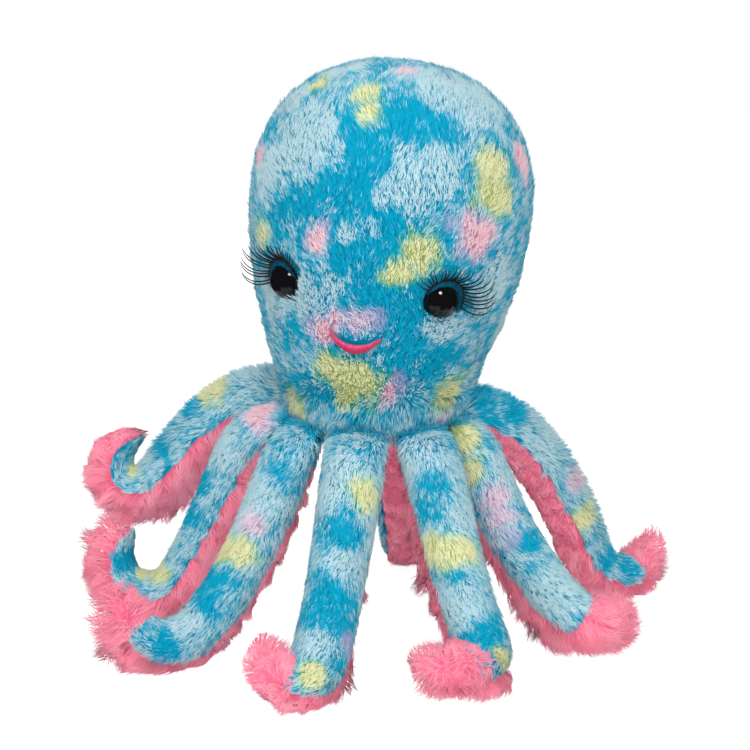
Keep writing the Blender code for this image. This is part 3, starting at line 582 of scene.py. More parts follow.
def backing_material(name):
    """Knit ground of the plush. It took the dye with the pile and shows between the strands.
    With a pile level of 0 it takes the full painted root shade, as shade between the strands.
    """
    made, tree, shader = new_material(name, roughness=0.95, sheen=0.0, specular=0.1)
    set_inputs(tree, shader, {"Base Color": add_group(tree, "strand")})
    add_relief(tree, shader, KNIT_SCALE, KNIT_RELIEF)
    return made


def cloth_material(name, first, second, roughness, scale, relief, sheen=0.2, specular=0.2):
    """Cloth whose colour wanders between two tones, with a fine relief."""
    made, tree, shader = new_material(name, roughness, sheen, specular)
    amount = step_of(tree, noise_of(tree, scale / 6.0, 5.0), 0.35, 0.65)
    set_inputs(tree, shader, {"Base Color": blend_colour(tree, amount, first, second)})
    add_relief(tree, shader, scale, relief)
    return made


def thread_material(name):
    """Satin thread with painted light and shade: darker towards the lower edge of the smile and
    lighter, up to a painted highlight, towards its upper edge, as if lit from above.
    """
    made, tree, shader = new_material(name, roughness=0.36, sheen=0.1, specular=0.5)
    across, _, own = read_attribute(tree, "stitch")
    # Painted shade low on the smile and a painted highlight along its upper edge
    colour = blend_colour(tree, step_of(tree, across, 0.0, 0.75), (0.26, 0.004, 0.030),
                          (0.60, 0.020, 0.11))
    colour = blend_colour(tree, step_of(tree, across, 0.60, 1.0), colour, (0.80, 0.075, 0.22))
    colour = blend_colour(tree, times(tree, own, 0.35), colour, (0.34, 0.006, 0.045))
    set_inputs(tree, shader, {"Base Color": colour})
    add_relief(tree, shader, 5000.0, 0.00005)
    return made


def gloss_material(name, colour, smooth_value, worn_value, specular=0.5):
    """Moulded plastic whose polish varies a little from place to place."""
    made, tree, shader = new_material(name, smooth_value, 0.0, specular)
    polish = add_node(tree, "ShaderNodeMapRange", {
        "Value": noise_of(tree, 300.0, 2.0), "From Min": 0.35, "From Max": 0.75,
        "To Min": smooth_value, "To Max": worn_value})
    set_inputs(tree, shader, {"Base Color": (*colour, 1.0), "Roughness": polish.outputs["Result"]})
    return made


PILE = strand_material("dyed_pile", "strand")
SHAG = strand_material("pink_shag", "shag")
BACKING = backing_material("pile_backing")
SHAG_BACKING = cloth_material("shag_backing", (0.66, 0.09, 0.18), (0.78, 0.14, 0.24),
                              roughness=0.95, scale=KNIT_SCALE, relief=KNIT_RELIEF)
FELT = cloth_material("lid_felt", (0.0, 0.035, 0.065), (0.002, 0.07, 0.12), roughness=0.95,
                      scale=3500.0, relief=0.0003, sheen=0.0, specular=0.05)
THREAD = thread_material("smile_thread")
FILL = cloth_material("fibre_fill", (0.80, 0.80, 0.78), (0.90, 0.90, 0.88), roughness=1.0,
                      scale=900.0, relief=0.001)
EYE_BLACK = gloss_material("eye_black", (0.004, 0.004, 0.005), smooth_value=0.05,
                           worn_value=0.09, specular=0.20)
LASH = gloss_material("lash_fibre", (0.016, 0.009, 0.007), smooth_value=0.40, worn_value=0.60,
                      specular=0.3)
WASHER = gloss_material("washer_plastic", (0.72, 0.72, 0.70), smooth_value=0.35, worn_value=0.5)


# Strands

def spindle(levels):
    """A three-sided spindle from 0 to 1 in height, with a ring of unit radius at each level.

    Returns its corners, its triangles and each triangle corner's place on the bake sheet."""
    maker = bmesh.new()
    verts = bmesh.ops.create_circle(maker, segments=3, radius=1.0)["verts"]
    bmesh.ops.translate(maker, verts=verts, vec=(0, 0, levels[0]))
    first = maker.edges[:]
    edges = first
    for level in levels[1:]:
        drawn = bmesh.ops.extrude_edge_only(maker, edges=edges)["geom"]
        verts = [item for item in drawn if isinstance(item, bmesh.types.BMVert)]
        edges = [item for item in drawn if isinstance(item, bmesh.types.BMEdge)
                 and all(vert in verts for vert in item.verts)]
        for vert in verts:
            vert.co.z = level
    for rim, height in ((edges, 1.0), (first, 0.0)):
        drawn = bmesh.ops.extrude_edge_only(maker, edges=rim)["geom"]
        verts = [item for item in drawn if isinstance(item, bmesh.types.BMVert)]
        bmesh.ops.pointmerge(maker, verts=verts, merge_co=(0, 0, height))
    bmesh.ops.triangulate(maker, faces=maker.faces)
    bmesh.ops.recalc_face_normals(maker, faces=maker.faces)
    if maker.calc_volume(signed=True) < 0:
        bmesh.ops.reverse_faces(maker, faces=maker.faces)
    maker.verts.index_update()
    corners = np.array([vert.co for vert in maker.verts])
    faces = np.array([[vert.index for vert in face.verts] for face in maker.faces])
    maker.free()
    around = np.round(np.arctan2(corners[:, 1], corners[:, 0]) / (2 * math.pi / 3)).astype(int) % 3
    pole = np.hypot(corners[:, 0], corners[:, 1]) < 0.5
    sheet = np.zeros((len(faces), 3, 2))
    for row, face in enumerate(faces):
        sides = {int(around[index]) for index in face if not pole[index]}
        start = {(0, 1): 0, (1, 2): 1, (0, 2): 2}[tuple(sorted(sides))]
        for column, index in enumerate(face):
            across = 0.5 if pole[index] else (0.0 if around[index] == start else 1.0)
            sheet[row, column] = (across, corners[index, 2])
    return corners, faces, sheet


PILE_SHAPE = spindle((0.55,))
SHAG_SHAPE = spindle((0.48,))


def scatter(mesh, count, seed, carried=None):
    """Even random places on a mesh: points, smooth normals and the values its corners carry."""
    dice = np.random.default_rng(seed)
    mesh.calc_loop_triangles()
    spots = corners_of(mesh)
    ways = np.empty(len(mesh.vertices) * 3)
    mesh.vertex_normals.foreach_get("vector", ways)
    ways = ways.reshape(-1, 3)
    triangles = np.empty(len(mesh.loop_triangles) * 3, dtype=np.int32)
    mesh.loop_triangles.foreach_get("vertices", triangles)
    triangles = triangles.reshape(-1, 3)
    a, b, c = (spots[triangles[:, column]] for column in range(3))
    areas = np.linalg.norm(np.cross(b - a, c - a), axis=1)
    ends = np.cumsum(areas) / areas.sum()
    picks = (np.arange(count) + dice.uniform(0, 1, count)) / count
    chosen = np.minimum(np.searchsorted(ends, picks), len(ends) - 1)
    first, second = dice.uniform(0, 1, (2, count))
    over = first + second > 1
    first[over], second[over] = 1 - first[over], 1 - second[over]
    weights = np.stack([1 - first - second, first, second], axis=1)[:, :, None]
    points = (spots[triangles[chosen]] * weights).sum(axis=1)
    normals = unit((ways[triangles[chosen]] * weights).sum(axis=1))
    if carried is None:
        return points, normals
    return points, normals, (carried[triangles[chosen]] * weights).sum(axis=1)


def corners_of(mesh):
    spots = np.empty(len(mesh.vertices) * 3)
    mesh.vertices.foreach_get("co", spots)
    return spots.reshape(-1, 3)


def carry(mesh, name, values):
    """Give each corner of a mesh three values that its material reads."""
    carried = mesh.attributes.new(name, "FLOAT_VECTOR", "POINT")
    carried.data.foreach_set("vector", values.astype(np.float32).ravel())


def dye_and_shade_skin(skin, dye):
    """Let a skin carry the dye of the pile that grows on it, and a pile level of 0, which gives it
    painted shade.
    """
    carry(skin.data, "pile", np.zeros_like(dye))
    carry(skin.data, "dye", dye)


def grow(name, shape, roots, normals, comb, length, radius, tilt, gather, tuft_size, frost, dye,
         material, body, seed, wild, curl=0.12, soft=0.8, drift=0.30, lump=0.0, bulge=0.3,
         shade=0.0):
    """One piece of pile: a strand at each root that leans along the comb, drawn into tufts.

    tilt is each strand's angle from the normal and wild how much it varies, gather is how far
    tips draw together in a tuft, lump how far the strands bow out from its middle and bulge how
    round it is lit. shade is painted shade that darkens strands, and where there is lump the
    edges of each tuft get painted shade too. frost and dye are read by the material."""
    dice = np.random.default_rng(seed)
    count = len(roots)
    comb = unit(comb - normals * (comb * normals).sum(axis=1, keepdims=True))
    side = np.cross(normals, comb)
    angle = tilt + wild * dice.normal(0, 1.0, count)
    sway = (drift * dice.normal(0, 1.0, count))[:, None]
    reach = length * dice.uniform(*LENGTH_SPREAD, count)
    lie = unit(comb + side * sway)
    way = normals * np.cos(angle)[:, None] + lie * np.sin(angle)[:, None]
    start = roots - normals * SINK
    tips = start + way * reach[:, None]

    tufts = max(4, int(count / tuft_size))
    middles = dice.choice(count, tufts, replace=False)
    tree = KDTree(tufts)
    for number, index in enumerate(middles):
        tree.insert(roots[index], number)
    tree.balance()
    nearest = np.array([tree.find(root)[1] for root in roots.tolist()])
    own_tuft = dice.uniform(0, 1, tufts)[nearest]
    pull = (gather * dice.uniform(0.5, 1.0, count))[:, None]
    tips = tips * (1 - pull) + tips[middles][nearest] * pull
    from_middle = roots - roots[middles][nearest]
    # How far a root lies from its tuft's middle, also used for painted shade at the edges of lumpy
    # tufts
    edge = np.linalg.norm(from_middle, axis=1)
    edge = np.clip(edge / (1.6 * edge.mean()), 0.0, 1.0)
    control = start + normals * (reach * (0.5 + curl))[:, None] + (tips - start) * 0.12
    control = control + from_middle * lump

    tips[:, 2] = np.maximum(tips[:, 2], FLOOR_LIFT + dice.uniform(0, FLOOR_SCATTER, count))
    control[:, 2] = np.maximum(control[:, 2], FLOOR_LIFT)

    corners, faces, sheet = shape
    along = unit(tips - start)
    turn = dice.uniform(0, 2 * math.pi, count)[:, None]
    across = unit(np.cross(along, normals + 0.01 * side))
    over = np.cross(along, across)
    first = across * np.cos(turn) + over * np.sin(turn)
    second = over * np.cos(turn) - across * np.sin(turn)
    level = corners[:, 2][None, :, None]
    thick = (radius * dice.uniform(*RADIUS_SPREAD, count))[:, None, None]
    thick = thick * (ROOT_THICKNESS - TAPER * level)
    soft = np.broadcast_to(soft, count)[:, None, None]
    spine = ((1 - level) ** 2 * start[:, None] + 2 * level * (1 - level) * control[:, None]
             + level ** 2 * tips[:, None])
    round_part = (corners[None, :, 0:1] * first[:, None]
                  + corners[None, :, 1:2] * second[:, None])
    spots = spine + round_part * thick
    spots[:, :, 2] = np.maximum(spots[:, :, 2], FLOOR_LIFT / 2)

    mesh = bpy.data.meshes.new(name)
    per = len(corners)
    mesh.vertices.add(count * per)
    mesh.vertices.foreach_set("co", spots.astype(np.float32).ravel())
    index = (np.arange(count)[:, None, None] * per + faces[None]).astype(np.int32)
    mesh.loops.add(index.size)
    mesh.loops.foreach_set("vertex_index", index.ravel())
    mesh.polygons.add(count * len(faces))
    mesh.polygons.foreach_set("loop_start", np.arange(0, index.size, 3, dtype=np.int32))
    cells = math.ceil(math.sqrt(count))
    place = np.stack([np.arange(count) % cells, np.arange(count) // cells], axis=1)
    spread = (place[:, None, None] + 0.06 + 0.88 * sheet[None]) / cells
    sheet_layer = mesh.uv_layers.new(name="OFBake")
    sheet_layer.uv.foreach_set("vector", spread.astype(np.float32).ravel())
    pile = np.empty((count, per, 3))
    # Painted shade: the level, which the material reads, is lowered by shade and, in lumpy tufts,
    # towards their edges
    pile[:, :, 0] = corners[None, :, 2] * ((1 - 0.4 * edge * (lump > 0)) * (1 - shade))[:, None]
    luck = dice.uniform(0, 1, count)
    pile[:, :, 1] = (own_tuft if frost is None else frosting(frost, own_tuft, luck))[:, None]
    pile[:, :, 2] = dice.uniform(0, 1, count)[:, None]
    carry(mesh, "pile", pile)
    carry(mesh, "dye", np.repeat(dye[:, None], per, axis=1))
    mesh.update(calc_edges=True)
    mesh.shade_smooth()
    core = roots[middles][nearest] - normals[middles][nearest] * TUFT_CORE_DEPTH
    lit = unit(normals[:, None] * (1 - bulge) + unit(spots - core[:, None]) * bulge)
    facing = unit(unit(round_part) * (1 - soft) + lit * soft)
    mesh.normals_split_custom_set_from_vertices(facing.reshape(-1, 3).tolist())
    mesh.materials.append(material)
    piece = put_in_scene(name, mesh)
    piece.visible_shadow = False
    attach(piece, body)
    return piece


def dye_of(points, spots, seed, usual, vary, least, most, blend):
    """Dye of each point from spots of (kind, centre, radius): the mask of each kind, with
    edges that wander, and the chance that a strand there is frosted, with soft edges of blend.
    Blush is thin pink. Deep and pale spots only change the frost."""
    wander = 0.20 * ripple(points, 0.012, seed) + 0.14 * ripple(points, 0.005, seed + 1)
    masks = {kind: np.zeros(len(points))
             for kind in ("yellow", "pink", "violet", "deep", "pale")}
    for kind, centre, radius in spots:
        distance = np.linalg.norm(points - np.array(centre), axis=1) / radius + wander
        edge = DYE_EDGE
        if kind in ("deep", "pale"):
            edge = (FROST_EDGE + blend, FROST_EDGE - blend)
        mask = fade(*edge, distance)
        if kind == "blush":
            kind, mask = "pink", BLUSH * mask
        masks[kind] = np.maximum(masks[kind], mask)
    chance = (usual + vary * ripple(points, 0.015, seed + 2)
              + 0.14 * ripple(points, 0.005, seed + 3))
    chance = chance * (1 - masks["deep"]) + least * masks["deep"]
    chance = chance * (1 - masks["pale"]) + most * masks["pale"]
    bright = np.maximum(masks["yellow"], np.minimum(1.0, 1.4 * masks["pink"]))
    chance = chance * (1 - bright) + BRIGHT_FROST * bright
    return np.stack([masks["yellow"], masks["pink"], masks["violet"]], axis=1), chance


def frosting(chance, tuft, luck):
    """Frost of each strand from its place's chance, its tuft and its own luck."""
    return fade(-0.20, 0.28, chance - (TUFT_LUCK * tuft + (1 - TUFT_LUCK) * luck))


# Arms

def arm_route(name):
    """Centre line of an arm: at each step a point and the ways along, over and across."""
    place, length, droop, _, pose, _ = ARMS[name]
    azimuth = math.radians(place)
    point = PIVOTS[name].copy()
    steps = []
    for step in range(ROUTE_STEPS + 1):
        share = step / ROUTE_STEPS
        sink = math.radians(droop) * max(0.0, 1.0 - share / DROOP_FADE)
        pitch = math.radians(read_table(pose, share, 1)) + sink
        heading = azimuth + math.radians(read_table(pose, share, 2))
        roll = math.radians(read_table(pose, share, 3))
        level = Vector((math.sin(heading), -math.cos(heading), 0.0))
        along = level * math.cos(pitch) + Vector((0.0, 0.0, math.sin(pitch)))
        over = level * -math.sin(pitch) + Vector((0.0, 0.0, math.cos(pitch)))
        over = over * math.cos(roll) + along.cross(over) * math.sin(roll)
        steps.append((point.copy(), along, over, along.cross(over)))
        point = point + along * length / ROUTE_STEPS
    return steps


def skin_point(step, share, angle):
    """Place on an arm's skin, below the pile on top and below the shag underneath."""
    point, _, over, across = step
    width = ARM_HALF_WIDTH * read_table(WIDTH_TABLE, share, 1)
    height = max(ROOT_RADIUS, ARM_HALF_HEIGHT * read_table(HEIGHT_TABLE, share, 1))
    under = float(fade(-0.10, -0.60, math.sin(angle)))
    depth = TOP_PILE_DEPTH + (SHAG_DEPTH - TOP_PILE_DEPTH) * under
    clear = FILL_CLEARANCE * float(fade(0.42, 0.82, share) * fade(1.0, 0.95, share))
    wide = max(width * 0.5, width - depth) + clear
    high = max(height * 0.5, height - depth) + clear
    return point + across * wide * math.cos(angle) + over * high * math.sin(angle)


def make_arm_skin(name, number, route):
    """Stuffed skin of one arm, with plush ground above and shag ground below. With it come
    the share, rise and turn that each corner carries, and the arm's dye spots."""
    _, _, _, end, _, spots = ARMS[name]
    first_turn, last_turn = ARM_COATS[name][:2]
    body = "arm_" + name
    rings = []
    for station in ARM_STATIONS:
        ring = []
        for side in range(ARM_SIDES):
            spot = skin_point(route[station], station / ROUTE_STEPS,
                              2 * math.pi * side / ARM_SIDES)
            spot.z = max(spot.z, FLOOR_LIFT)
            ring.append(spot)
        rings.append(ring)
    maker = bmesh.new()
    add_tube(maker, rings)
    skin = finish_mesh(maker, body + "_skin", BACKING, body)
    skin.data.materials.append(SHAG_BACKING)

    marks = KDTree(len(ARM_STATIONS) * ARM_SIDES)
    for row, ring in enumerate(rings):
        for side, spot in enumerate(ring):
            marks.insert(spot, row * ARM_SIDES + side)
    marks.balance()
    found = np.array([marks.find(vert.co)[1] for vert in skin.data.vertices])
    away = np.array(ARM_STATIONS)[found // ARM_SIDES] / ROUTE_STEPS
    turn = np.radians(first_turn + (last_turn - first_turn) * fade(0.10, 0.55, away))
    angle = 2 * math.pi * (found % ARM_SIDES) / ARM_SIDES + turn
    carried = np.stack([away, np.sin(angle) + 0.5 * fade(0.09, 0.03, away), turn], axis=1)
    middles = np.array([carried[list(face.vertices)].mean(axis=0)
                        for face in skin.data.polygons])
    below = (middles[:, 1] < SEAM_RISE) | (middles[:, 0] > end)
    skin.data.polygons.foreach_set("material_index", below.astype(np.int32))
    dyes = [(kind, skin_point(route[int(where * ROUTE_STEPS)], where, math.radians(side)),
             radius / 1000) for kind, rows in spots.items() for where, side, radius in rows]
    dye_and_shade_skin(skin, dye_of(corners_of(skin.data), dyes, 200 + 10 * number, *ARM_FROST)[0])
    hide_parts(body + "_top_panel", body + "_underside")
    return skin, carried, dyes


def make_arm_pile(name, number, skin, carried, dyes, along):
    """Dyed pile on the upper side of one arm."""
    end, loft, body = ARMS[name][3], ARM_COATS[name][2], "arm_" + name
    points, normals, values = scatter(skin.data, TOP_STRANDS, 100 + number, carried)
    share, rise = values[:, 0], values[:, 1]
    top = ((rise + 0.10 * ripple(points, 0.010, 900 + number) > SEAM_RISE)
           & (share + 0.01 * ripple(points, 0.006, 910 + number) < end - PLUSH_STOP))
    points, normals, share, rise = (item[top] for item in (points, normals, share, rise))
    step = np.rint(share * ROUTE_STEPS).astype(int)
    dye, chance = dye_of(points, dyes, 200 + 10 * number, *ARM_FROST)
    swirl = 0.30 * ripple(points, 0.020, 300 + number)[:, None]
    root = fade(0.09, 0.01, share)
    # Painted shade in the crease where the arm meets the head: fewer frosted strands and darker
    # pile near the seam
    painted_crease_shade = fade(0.030, 0.014, share)
    comb = along[step] * (1 - 0.5 * root)[:, None] + np.cross(normals, along[step]) * swirl
    raised = (loft - 1) * fade(0.2, 0.8, rise) * fade(0.75, 0.55, share)
    size = (ARM_PILE_LENGTH * (1 - 0.20 * fade(0.75, 0.95, share))
            * (1 - 0.3 * fade(end - 0.04, end, share)))
    tilt = 0.90 - 0.20 * root - 0.9 * raised
    pile = grow(body + "_pile", PILE_SHAPE, points, normals, comb, size * (1 + raised),
                PILE_RADIUS, tilt, gather=0.42, tuft_size=TUFT_SIZE,
                frost=chance * (1 - 0.35 * painted_crease_shade), dye=dye, material=PILE, body=body,
                seed=400 + number, wild=0.14, shade=0.4 * painted_crease_shade)


def make_arm_shag(name, number, skin, carried, along, over, across):
    """Pink shag on the underside and the foot of one arm."""
    end, body = ARMS[name][3], "arm_" + name
    fluff, puff, rightward, upward = ARM_COATS[name][3:]
    points, normals, values = scatter(skin.data, SHAG_STRANDS, 500 + number, carried)
    share, rise = values[:, 0], values[:, 1]
    under = (rise < SEAM_RISE) | (share > end - SHAG_START)
    points, normals, share, rise, turn = (item[under] for item in
                                          (points, normals, share, rise, values[:, 2]))
    step = np.rint(share * ROUTE_STEPS).astype(int)
    up_way = over[step] * np.cos(turn)[:, None] + across[step] * np.sin(turn)[:, None]
    foot = fade(end - 0.03, end + 0.02, share)
    lie = np.array([0.98 * rightward, 0.20 * rightward, upward])
    facing = normals @ lie
    stretch = 1 + 0.5 * np.clip(facing, -0.7, 1.0) * fade(end - 0.12, end - 0.02, share)
    normals = unit(normals + lie * (foot * np.clip(0.7 + facing, 0.0, 1.0))[:, None])
    border = fade(-0.70, -0.36, rise) * (1 - foot)
    swirl = 1.2 * ripple(points, 0.011, 600 + number) * (1 - 0.6 * border)
    comb = (0.5 * along[step] + np.cross(normals, along[step]) * swirl[:, None]
            - up_way * (1.1 * border)[:, None]
            + np.array([0.0, 0.0, -0.4]) * (1 - foot)[:, None])
    tip = fade(0.82, 0.97, share) if end > 1 else foot
    fluff = fluff + (1.1 - fluff) * fade(end - 0.35, end - 0.10, share)
    size = SHAG_LENGTH * (0.65 + 0.35 * fade(0.0, 0.30, share)) * (fluff + (puff - fluff) * tip)
    lumps = ripple(points, 0.008, 610 + number)
    size = size * (1 + 0.26 * lumps)
    size = size * (1 - 0.25 * border) * stretch
    # Painted shade: shag in the valleys between lumps, and at the edges of its tufts, is darker
    shag = grow(body + "_shag", SHAG_SHAPE, points, normals, comb, size,
                SHAG_RADIUS * (1 - 0.15 * foot), tilt=0.80 - 0.26 * foot,
                gather=0.70 - 0.38 * foot, tuft_size=SHAG_TUFT_SIZE, frost=None,
                dye=np.zeros_like(points), material=SHAG, body=body, seed=700 + number,
                wild=0.16 + 0.05 * foot, curl=0.18, soft=0.72 - 0.27 * foot,
                drift=0.45 - 0.25 * border + 0.15 * foot, lump=0.8, bulge=0.62,
                shade=0.5 * fade(0.1, -0.8, lumps))
    shag.visible_diffuse = False


def make_arm(name, number):
    """Stuffed skin, dyed pile on top and pink shag underneath of one arm."""
    route = arm_route(name)
    along, over, across = (np.array([list(step[column]) for step in route])
                           for column in (1, 2, 3))
    skin, carried, dyes = make_arm_skin(name, number, route)
    make_arm_pile(name, number, skin, carried, dyes, along)
    make_arm_shag(name, number, skin, carried, along, over, across)


# Head

def eye_side(side):
    return -EYE_AZIMUTH if side == "left" else EYE_AZIMUTH


def lid_frame(azimuth, turn):
    """Middle of the lid at a turn round the eye, its half width, and the ways across it, off
    its face, away from the eye's axis and out of the head."""
    point, sideways, upward, outward = head_frame(azimuth, EYE_HEIGHT)
    away = sideways * math.copysign(1.0, azimuth)
    radial = away * math.cos(turn) + upward * math.sin(turn)
    slope = radial * math.cos(LID_SLOPE) - outward * math.sin(LID_SLOPE)
    face = radial * math.sin(LID_SLOPE) + outward * math.cos(LID_SLOPE)
    share = min(1.0, max(0.0, (turn - LID_START) / (LID_END - LID_START)))
    full = math.sin(math.pi * share) ** 0.5
    half = LID_HALF_WIDTH * (1.0 - 0.62 * share) * (0.25 + 0.75 * full)
    inside = point + radial * (LID_INSIDE + (EYE_RADIUS - LID_INSIDE) * (1.0 - full))
    inside += outward * (LID_RISE * (0.55 + 0.45 * full) - PILE_DEPTH)
    return inside + slope * half, half, slope, face, radial, outward


def lash_seat(azimuth, turn):
    """Where the lashes leave the outer edge of the lid."""
    middle, half, slope, face, radial, outward = lid_frame(azimuth, turn)
    return middle + slope * half * 0.8 + face * LID_HALF_THICKNESS, radial, outward


def make_eye(side):
    """Domed safety eye: a ball flattened at the back, on its stem."""
    azimuth = eye_side(side)
    point, sideways, upward, outward = head_frame(azimuth, EYE_HEIGHT)
    low = math.asin(EYE_DROP / EYE_RADIUS)
    edge = EYE_RADIUS * math.cos(low)
    profile = [(0.0, -STEM_LENGTH), (STEM_RADIUS, -STEM_LENGTH), (STEM_RADIUS, 0.0),
               (edge, 0.0)]
    for step in range(1, EYE_STEPS + 1):
        turn = low + (math.pi / 2 - low) * step / EYE_STEPS
        radius = EYE_RADIUS * math.cos(turn) if step < EYE_STEPS else 0.0
        profile.append((radius, EYE_RADIUS * math.sin(turn) - EYE_DROP))
    maker = turned(profile, steps=72)
    seat = Matrix((sideways, upward, outward)).transposed().to_4x4()
    seat.translation = point - outward * (PILE_DEPTH - PIECE_GAP)
    bmesh.ops.transform(maker, matrix=seat, verts=maker.verts)
    eye = finish_mesh(maker, "eye_dome_" + side, EYE_BLACK, "head")
    eye.data.set_sharp_from_angle(angle=math.radians(50))
    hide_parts("eye_" + side)


def make_lid(side):
    """Felt band that laps over the top of the eye, widest at its middle."""
    azimuth = eye_side(side)
    rings = []
    for station in range(LID_STEPS + 1):
        turn = LID_START + (LID_END - LID_START) * station / LID_STEPS
        middle, half, slope, face, _, _ = lid_frame(azimuth, turn)
        rings.append(ring_round(middle, slope, face, half, LID_HALF_THICKNESS, sides=16))
    maker = bmesh.new()
    add_tube(maker, rings)
    lid = finish_mesh(maker, "lid_band_" + side, FELT, "head")
    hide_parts("eyelid_" + side)


def make_lashes(side):
    """Row of long lashes on a thin dark band. They leave it square and curl upwards."""
    azimuth = eye_side(side)
    dice = np.random.default_rng(31 if side == "left" else 32)
    _, sideways, upward, _ = head_frame(azimuth, EYE_HEIGHT)
    away = sideways * math.copysign(1.0, azimuth)
    maker = bmesh.new()
    rings = []
    for station in range(LASH_BAND_STEPS + 1):
        turn = LASH_START + (LASH_END - LASH_START) * station / LASH_BAND_STEPS
        spot, radial, out = lash_seat(azimuth, turn)
        rings.append(ring_round(spot, radial, out, LASH_BAND_RADIUS, LASH_BAND_RADIUS, sides=8))
    add_tube(maker, rings)
    for lash in range(LASH_COUNT):
        share = (lash + 0.5 + 0.25 * dice.uniform(-1, 1)) / LASH_COUNT
        turn = LASH_START + (LASH_END - LASH_START) * share
        spot, radial, out = lash_seat(azimuth, turn)
        inner = float(fade(0.45, 0.95, share))
        length = (LASH_LENGTH * (1.0 - 0.45 * float(fade(0.15, 0.60, share)))
                  * dice.uniform(0.86, 1.05))
        first = turn - math.radians(14 - 30 * inner) + dice.uniform(-0.08, 0.08)
        last = math.radians(118 + 14 * inner) + dice.uniform(-0.16, 0.16)
        rings = []
        for station in range(LASH_STEPS + 1):
            part = station / LASH_STEPS
            heading = first + (last - first) * part ** 1.7
            forward = (1.20 - 0.70 * inner) * (1.0 - 0.6 * part)
            way = away * math.cos(heading) + upward * math.sin(heading) + out * forward
            way = way.normalized()
            if station:
                spot = spot + way * length / LASH_STEPS
            edge = way.cross(out).normalized()
            radius = LASH_RADIUS * (1.0 - 0.85 * part ** 2.5)
            rings.append(ring_round(spot, edge, way.cross(edge), radius, radius, sides=5))
        add_tube(maker, rings)
    lashes = finish_mesh(maker, "lash_row_" + side, LASH, "head")
    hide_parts("lashes_" + side)


def mouth_spot(share, rise, bulge):
    """Place on the smile: share along it, rise across it from -1 to 1, and height over the
    head. Its sideways, upward and outward directions and its fullness come with it."""
    height = MOUTH_HEIGHT + MOUTH_RISE * share ** 2
    azimuth = share * MOUTH_WIDTH / 2 / head_radius(height)
    point, sideways, upward, outward = head_frame(azimuth, height)
    full = 0.25 + 0.75 * (1.0 - share ** 2)
    spot = point + upward * rise * full * MOUTH_THICKNESS / 2 + outward * bulge
    return spot, sideways, upward, outward, full


def make_mouth():
    """Satin-stitched smile: a raised crescent with close threads across it. Each corner carries
    its height across the smile, which sets the thread's painted shade and highlight, its place
    along it and its thread's own tone."""
    maker = bmesh.new()
    rings = []
    for station in range(SMILE_RINGS + 1):
        share = 2.0 * station / SMILE_RINGS - 1.0
        centre, _, upward, outward, full = mouth_spot(share, 0.0, 0.0)
        tall = MOUTH_THICKNESS / 2 * full * 0.9
        deep = MOUTH_DEPTH / 2 * (0.5 + 0.5 * full)
        rings.append(ring_round(centre, upward, outward, tall, deep, sides=10))
    add_tube(maker, rings)
    base = len(maker.verts)
    dice = np.random.default_rng(8)
    for stitch in range(STITCH_COUNT):
        share = 0.985 * (2.0 * (stitch + 0.5) / STITCH_COUNT - 1.0)
        rings = []
        slant = 0.016 + 0.008 * dice.uniform(-1, 1)
        for station in range(STITCH_RINGS):
            rise = -1.0 + 2.0 * station / (STITCH_RINGS - 1)
            centre, sideways, upward, outward, full = mouth_spot(share + slant * rise,
                                                                 rise * 0.98, 0.0)
            crown = math.sqrt(max(0.0, 1.0 - rise * rise))
            height = MOUTH_DEPTH / 2 * (0.5 + 0.5 * full) * crown + STITCH_LIFT
            centre = centre + outward * height
            radius = STITCH_RADIUS * (0.55 if station in (0, STITCH_RINGS - 1) else 1.0)
            facing = upward * 0.4 * rise + outward
            rings.append(ring_round(centre, sideways, facing, radius, radius, STITCH_SIDES))
        add_tube(maker, rings)
    mouth = finish_mesh(maker, "smile_stitches", THREAD, "head")
    places = [mouth_spot(2 * step / SMILE_STEPS - 1.0, 0.0, 0.0)
              for step in range(SMILE_STEPS + 1)]
    stitch = np.zeros((len(mouth.data.vertices), 3))
    tones = dice.uniform(0, 1, STITCH_COUNT + 1)
    for vert in mouth.data.vertices:
        near = min(range(SMILE_STEPS + 1), key=lambda step: (places[step][0] - vert.co).length)
        centre, _, upward, _, full = places[near]
        rise = (vert.co - centre).dot(upward) / (MOUTH_THICKNESS * full)
        thread = 0
        if vert.index >= base:
            thread = 1 + (vert.index - base) // (STITCH_RINGS * STITCH_SIDES)
        stitch[vert.index] = (min(1.0, max(0.0, 0.5 + rise)), near / SMILE_STEPS, tones[thread])
    carry(mouth.data, "stitch", stitch)
    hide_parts("mouth_embroidery")


def make_head_skin():
    """Stuffed skin of the head, one pile depth inside the part's own panels."""
    heights = [-HEM_DROP, 0.0]
    heights += [TUCK_HEIGHT + (WIDEST_HEIGHT - TUCK_HEIGHT) * (row / LOWER_ROWS) ** 1.1
                for row in range(LOWER_ROWS + 1)]
    for row in range(1, UPPER_ROWS + 1):
        rise = math.sin(math.pi / 2 * row / UPPER_ROWS) ** (2.0 / CROWN_ROUNDNESS)
        heights.append(WIDEST_HEIGHT + (HEAD_HEIGHT - WIDEST_HEIGHT) * rise)
    profile = [(0.0, -HEM_DROP)]
    for index, height in enumerate(heights):
        radius = head_radius(height)
        low, high = heights[max(0, index - 1)], heights[min(len(heights) - 1, index + 1)]
        slope = Vector((head_radius(high) - head_radius(low), high - low)).normalized()
        inner = Vector((radius, height)) - Vector((slope.y, -slope.x)) * PILE_DEPTH
        if index < 2:
            inner = Vector((radius - PILE_DEPTH, height))
        profile.append((max(0.0, inner.x), inner.y))
    profile[-1] = (0.0, HEAD_HEIGHT - PILE_DEPTH)
    maker = turned(profile, steps=144)
    for vert in maker.verts:
        vert.co = lean(vert.co)
    skin = finish_mesh(maker, "head_skin", BACKING, "head")
    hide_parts("head_front_panel", "head_back_panel")
    return skin


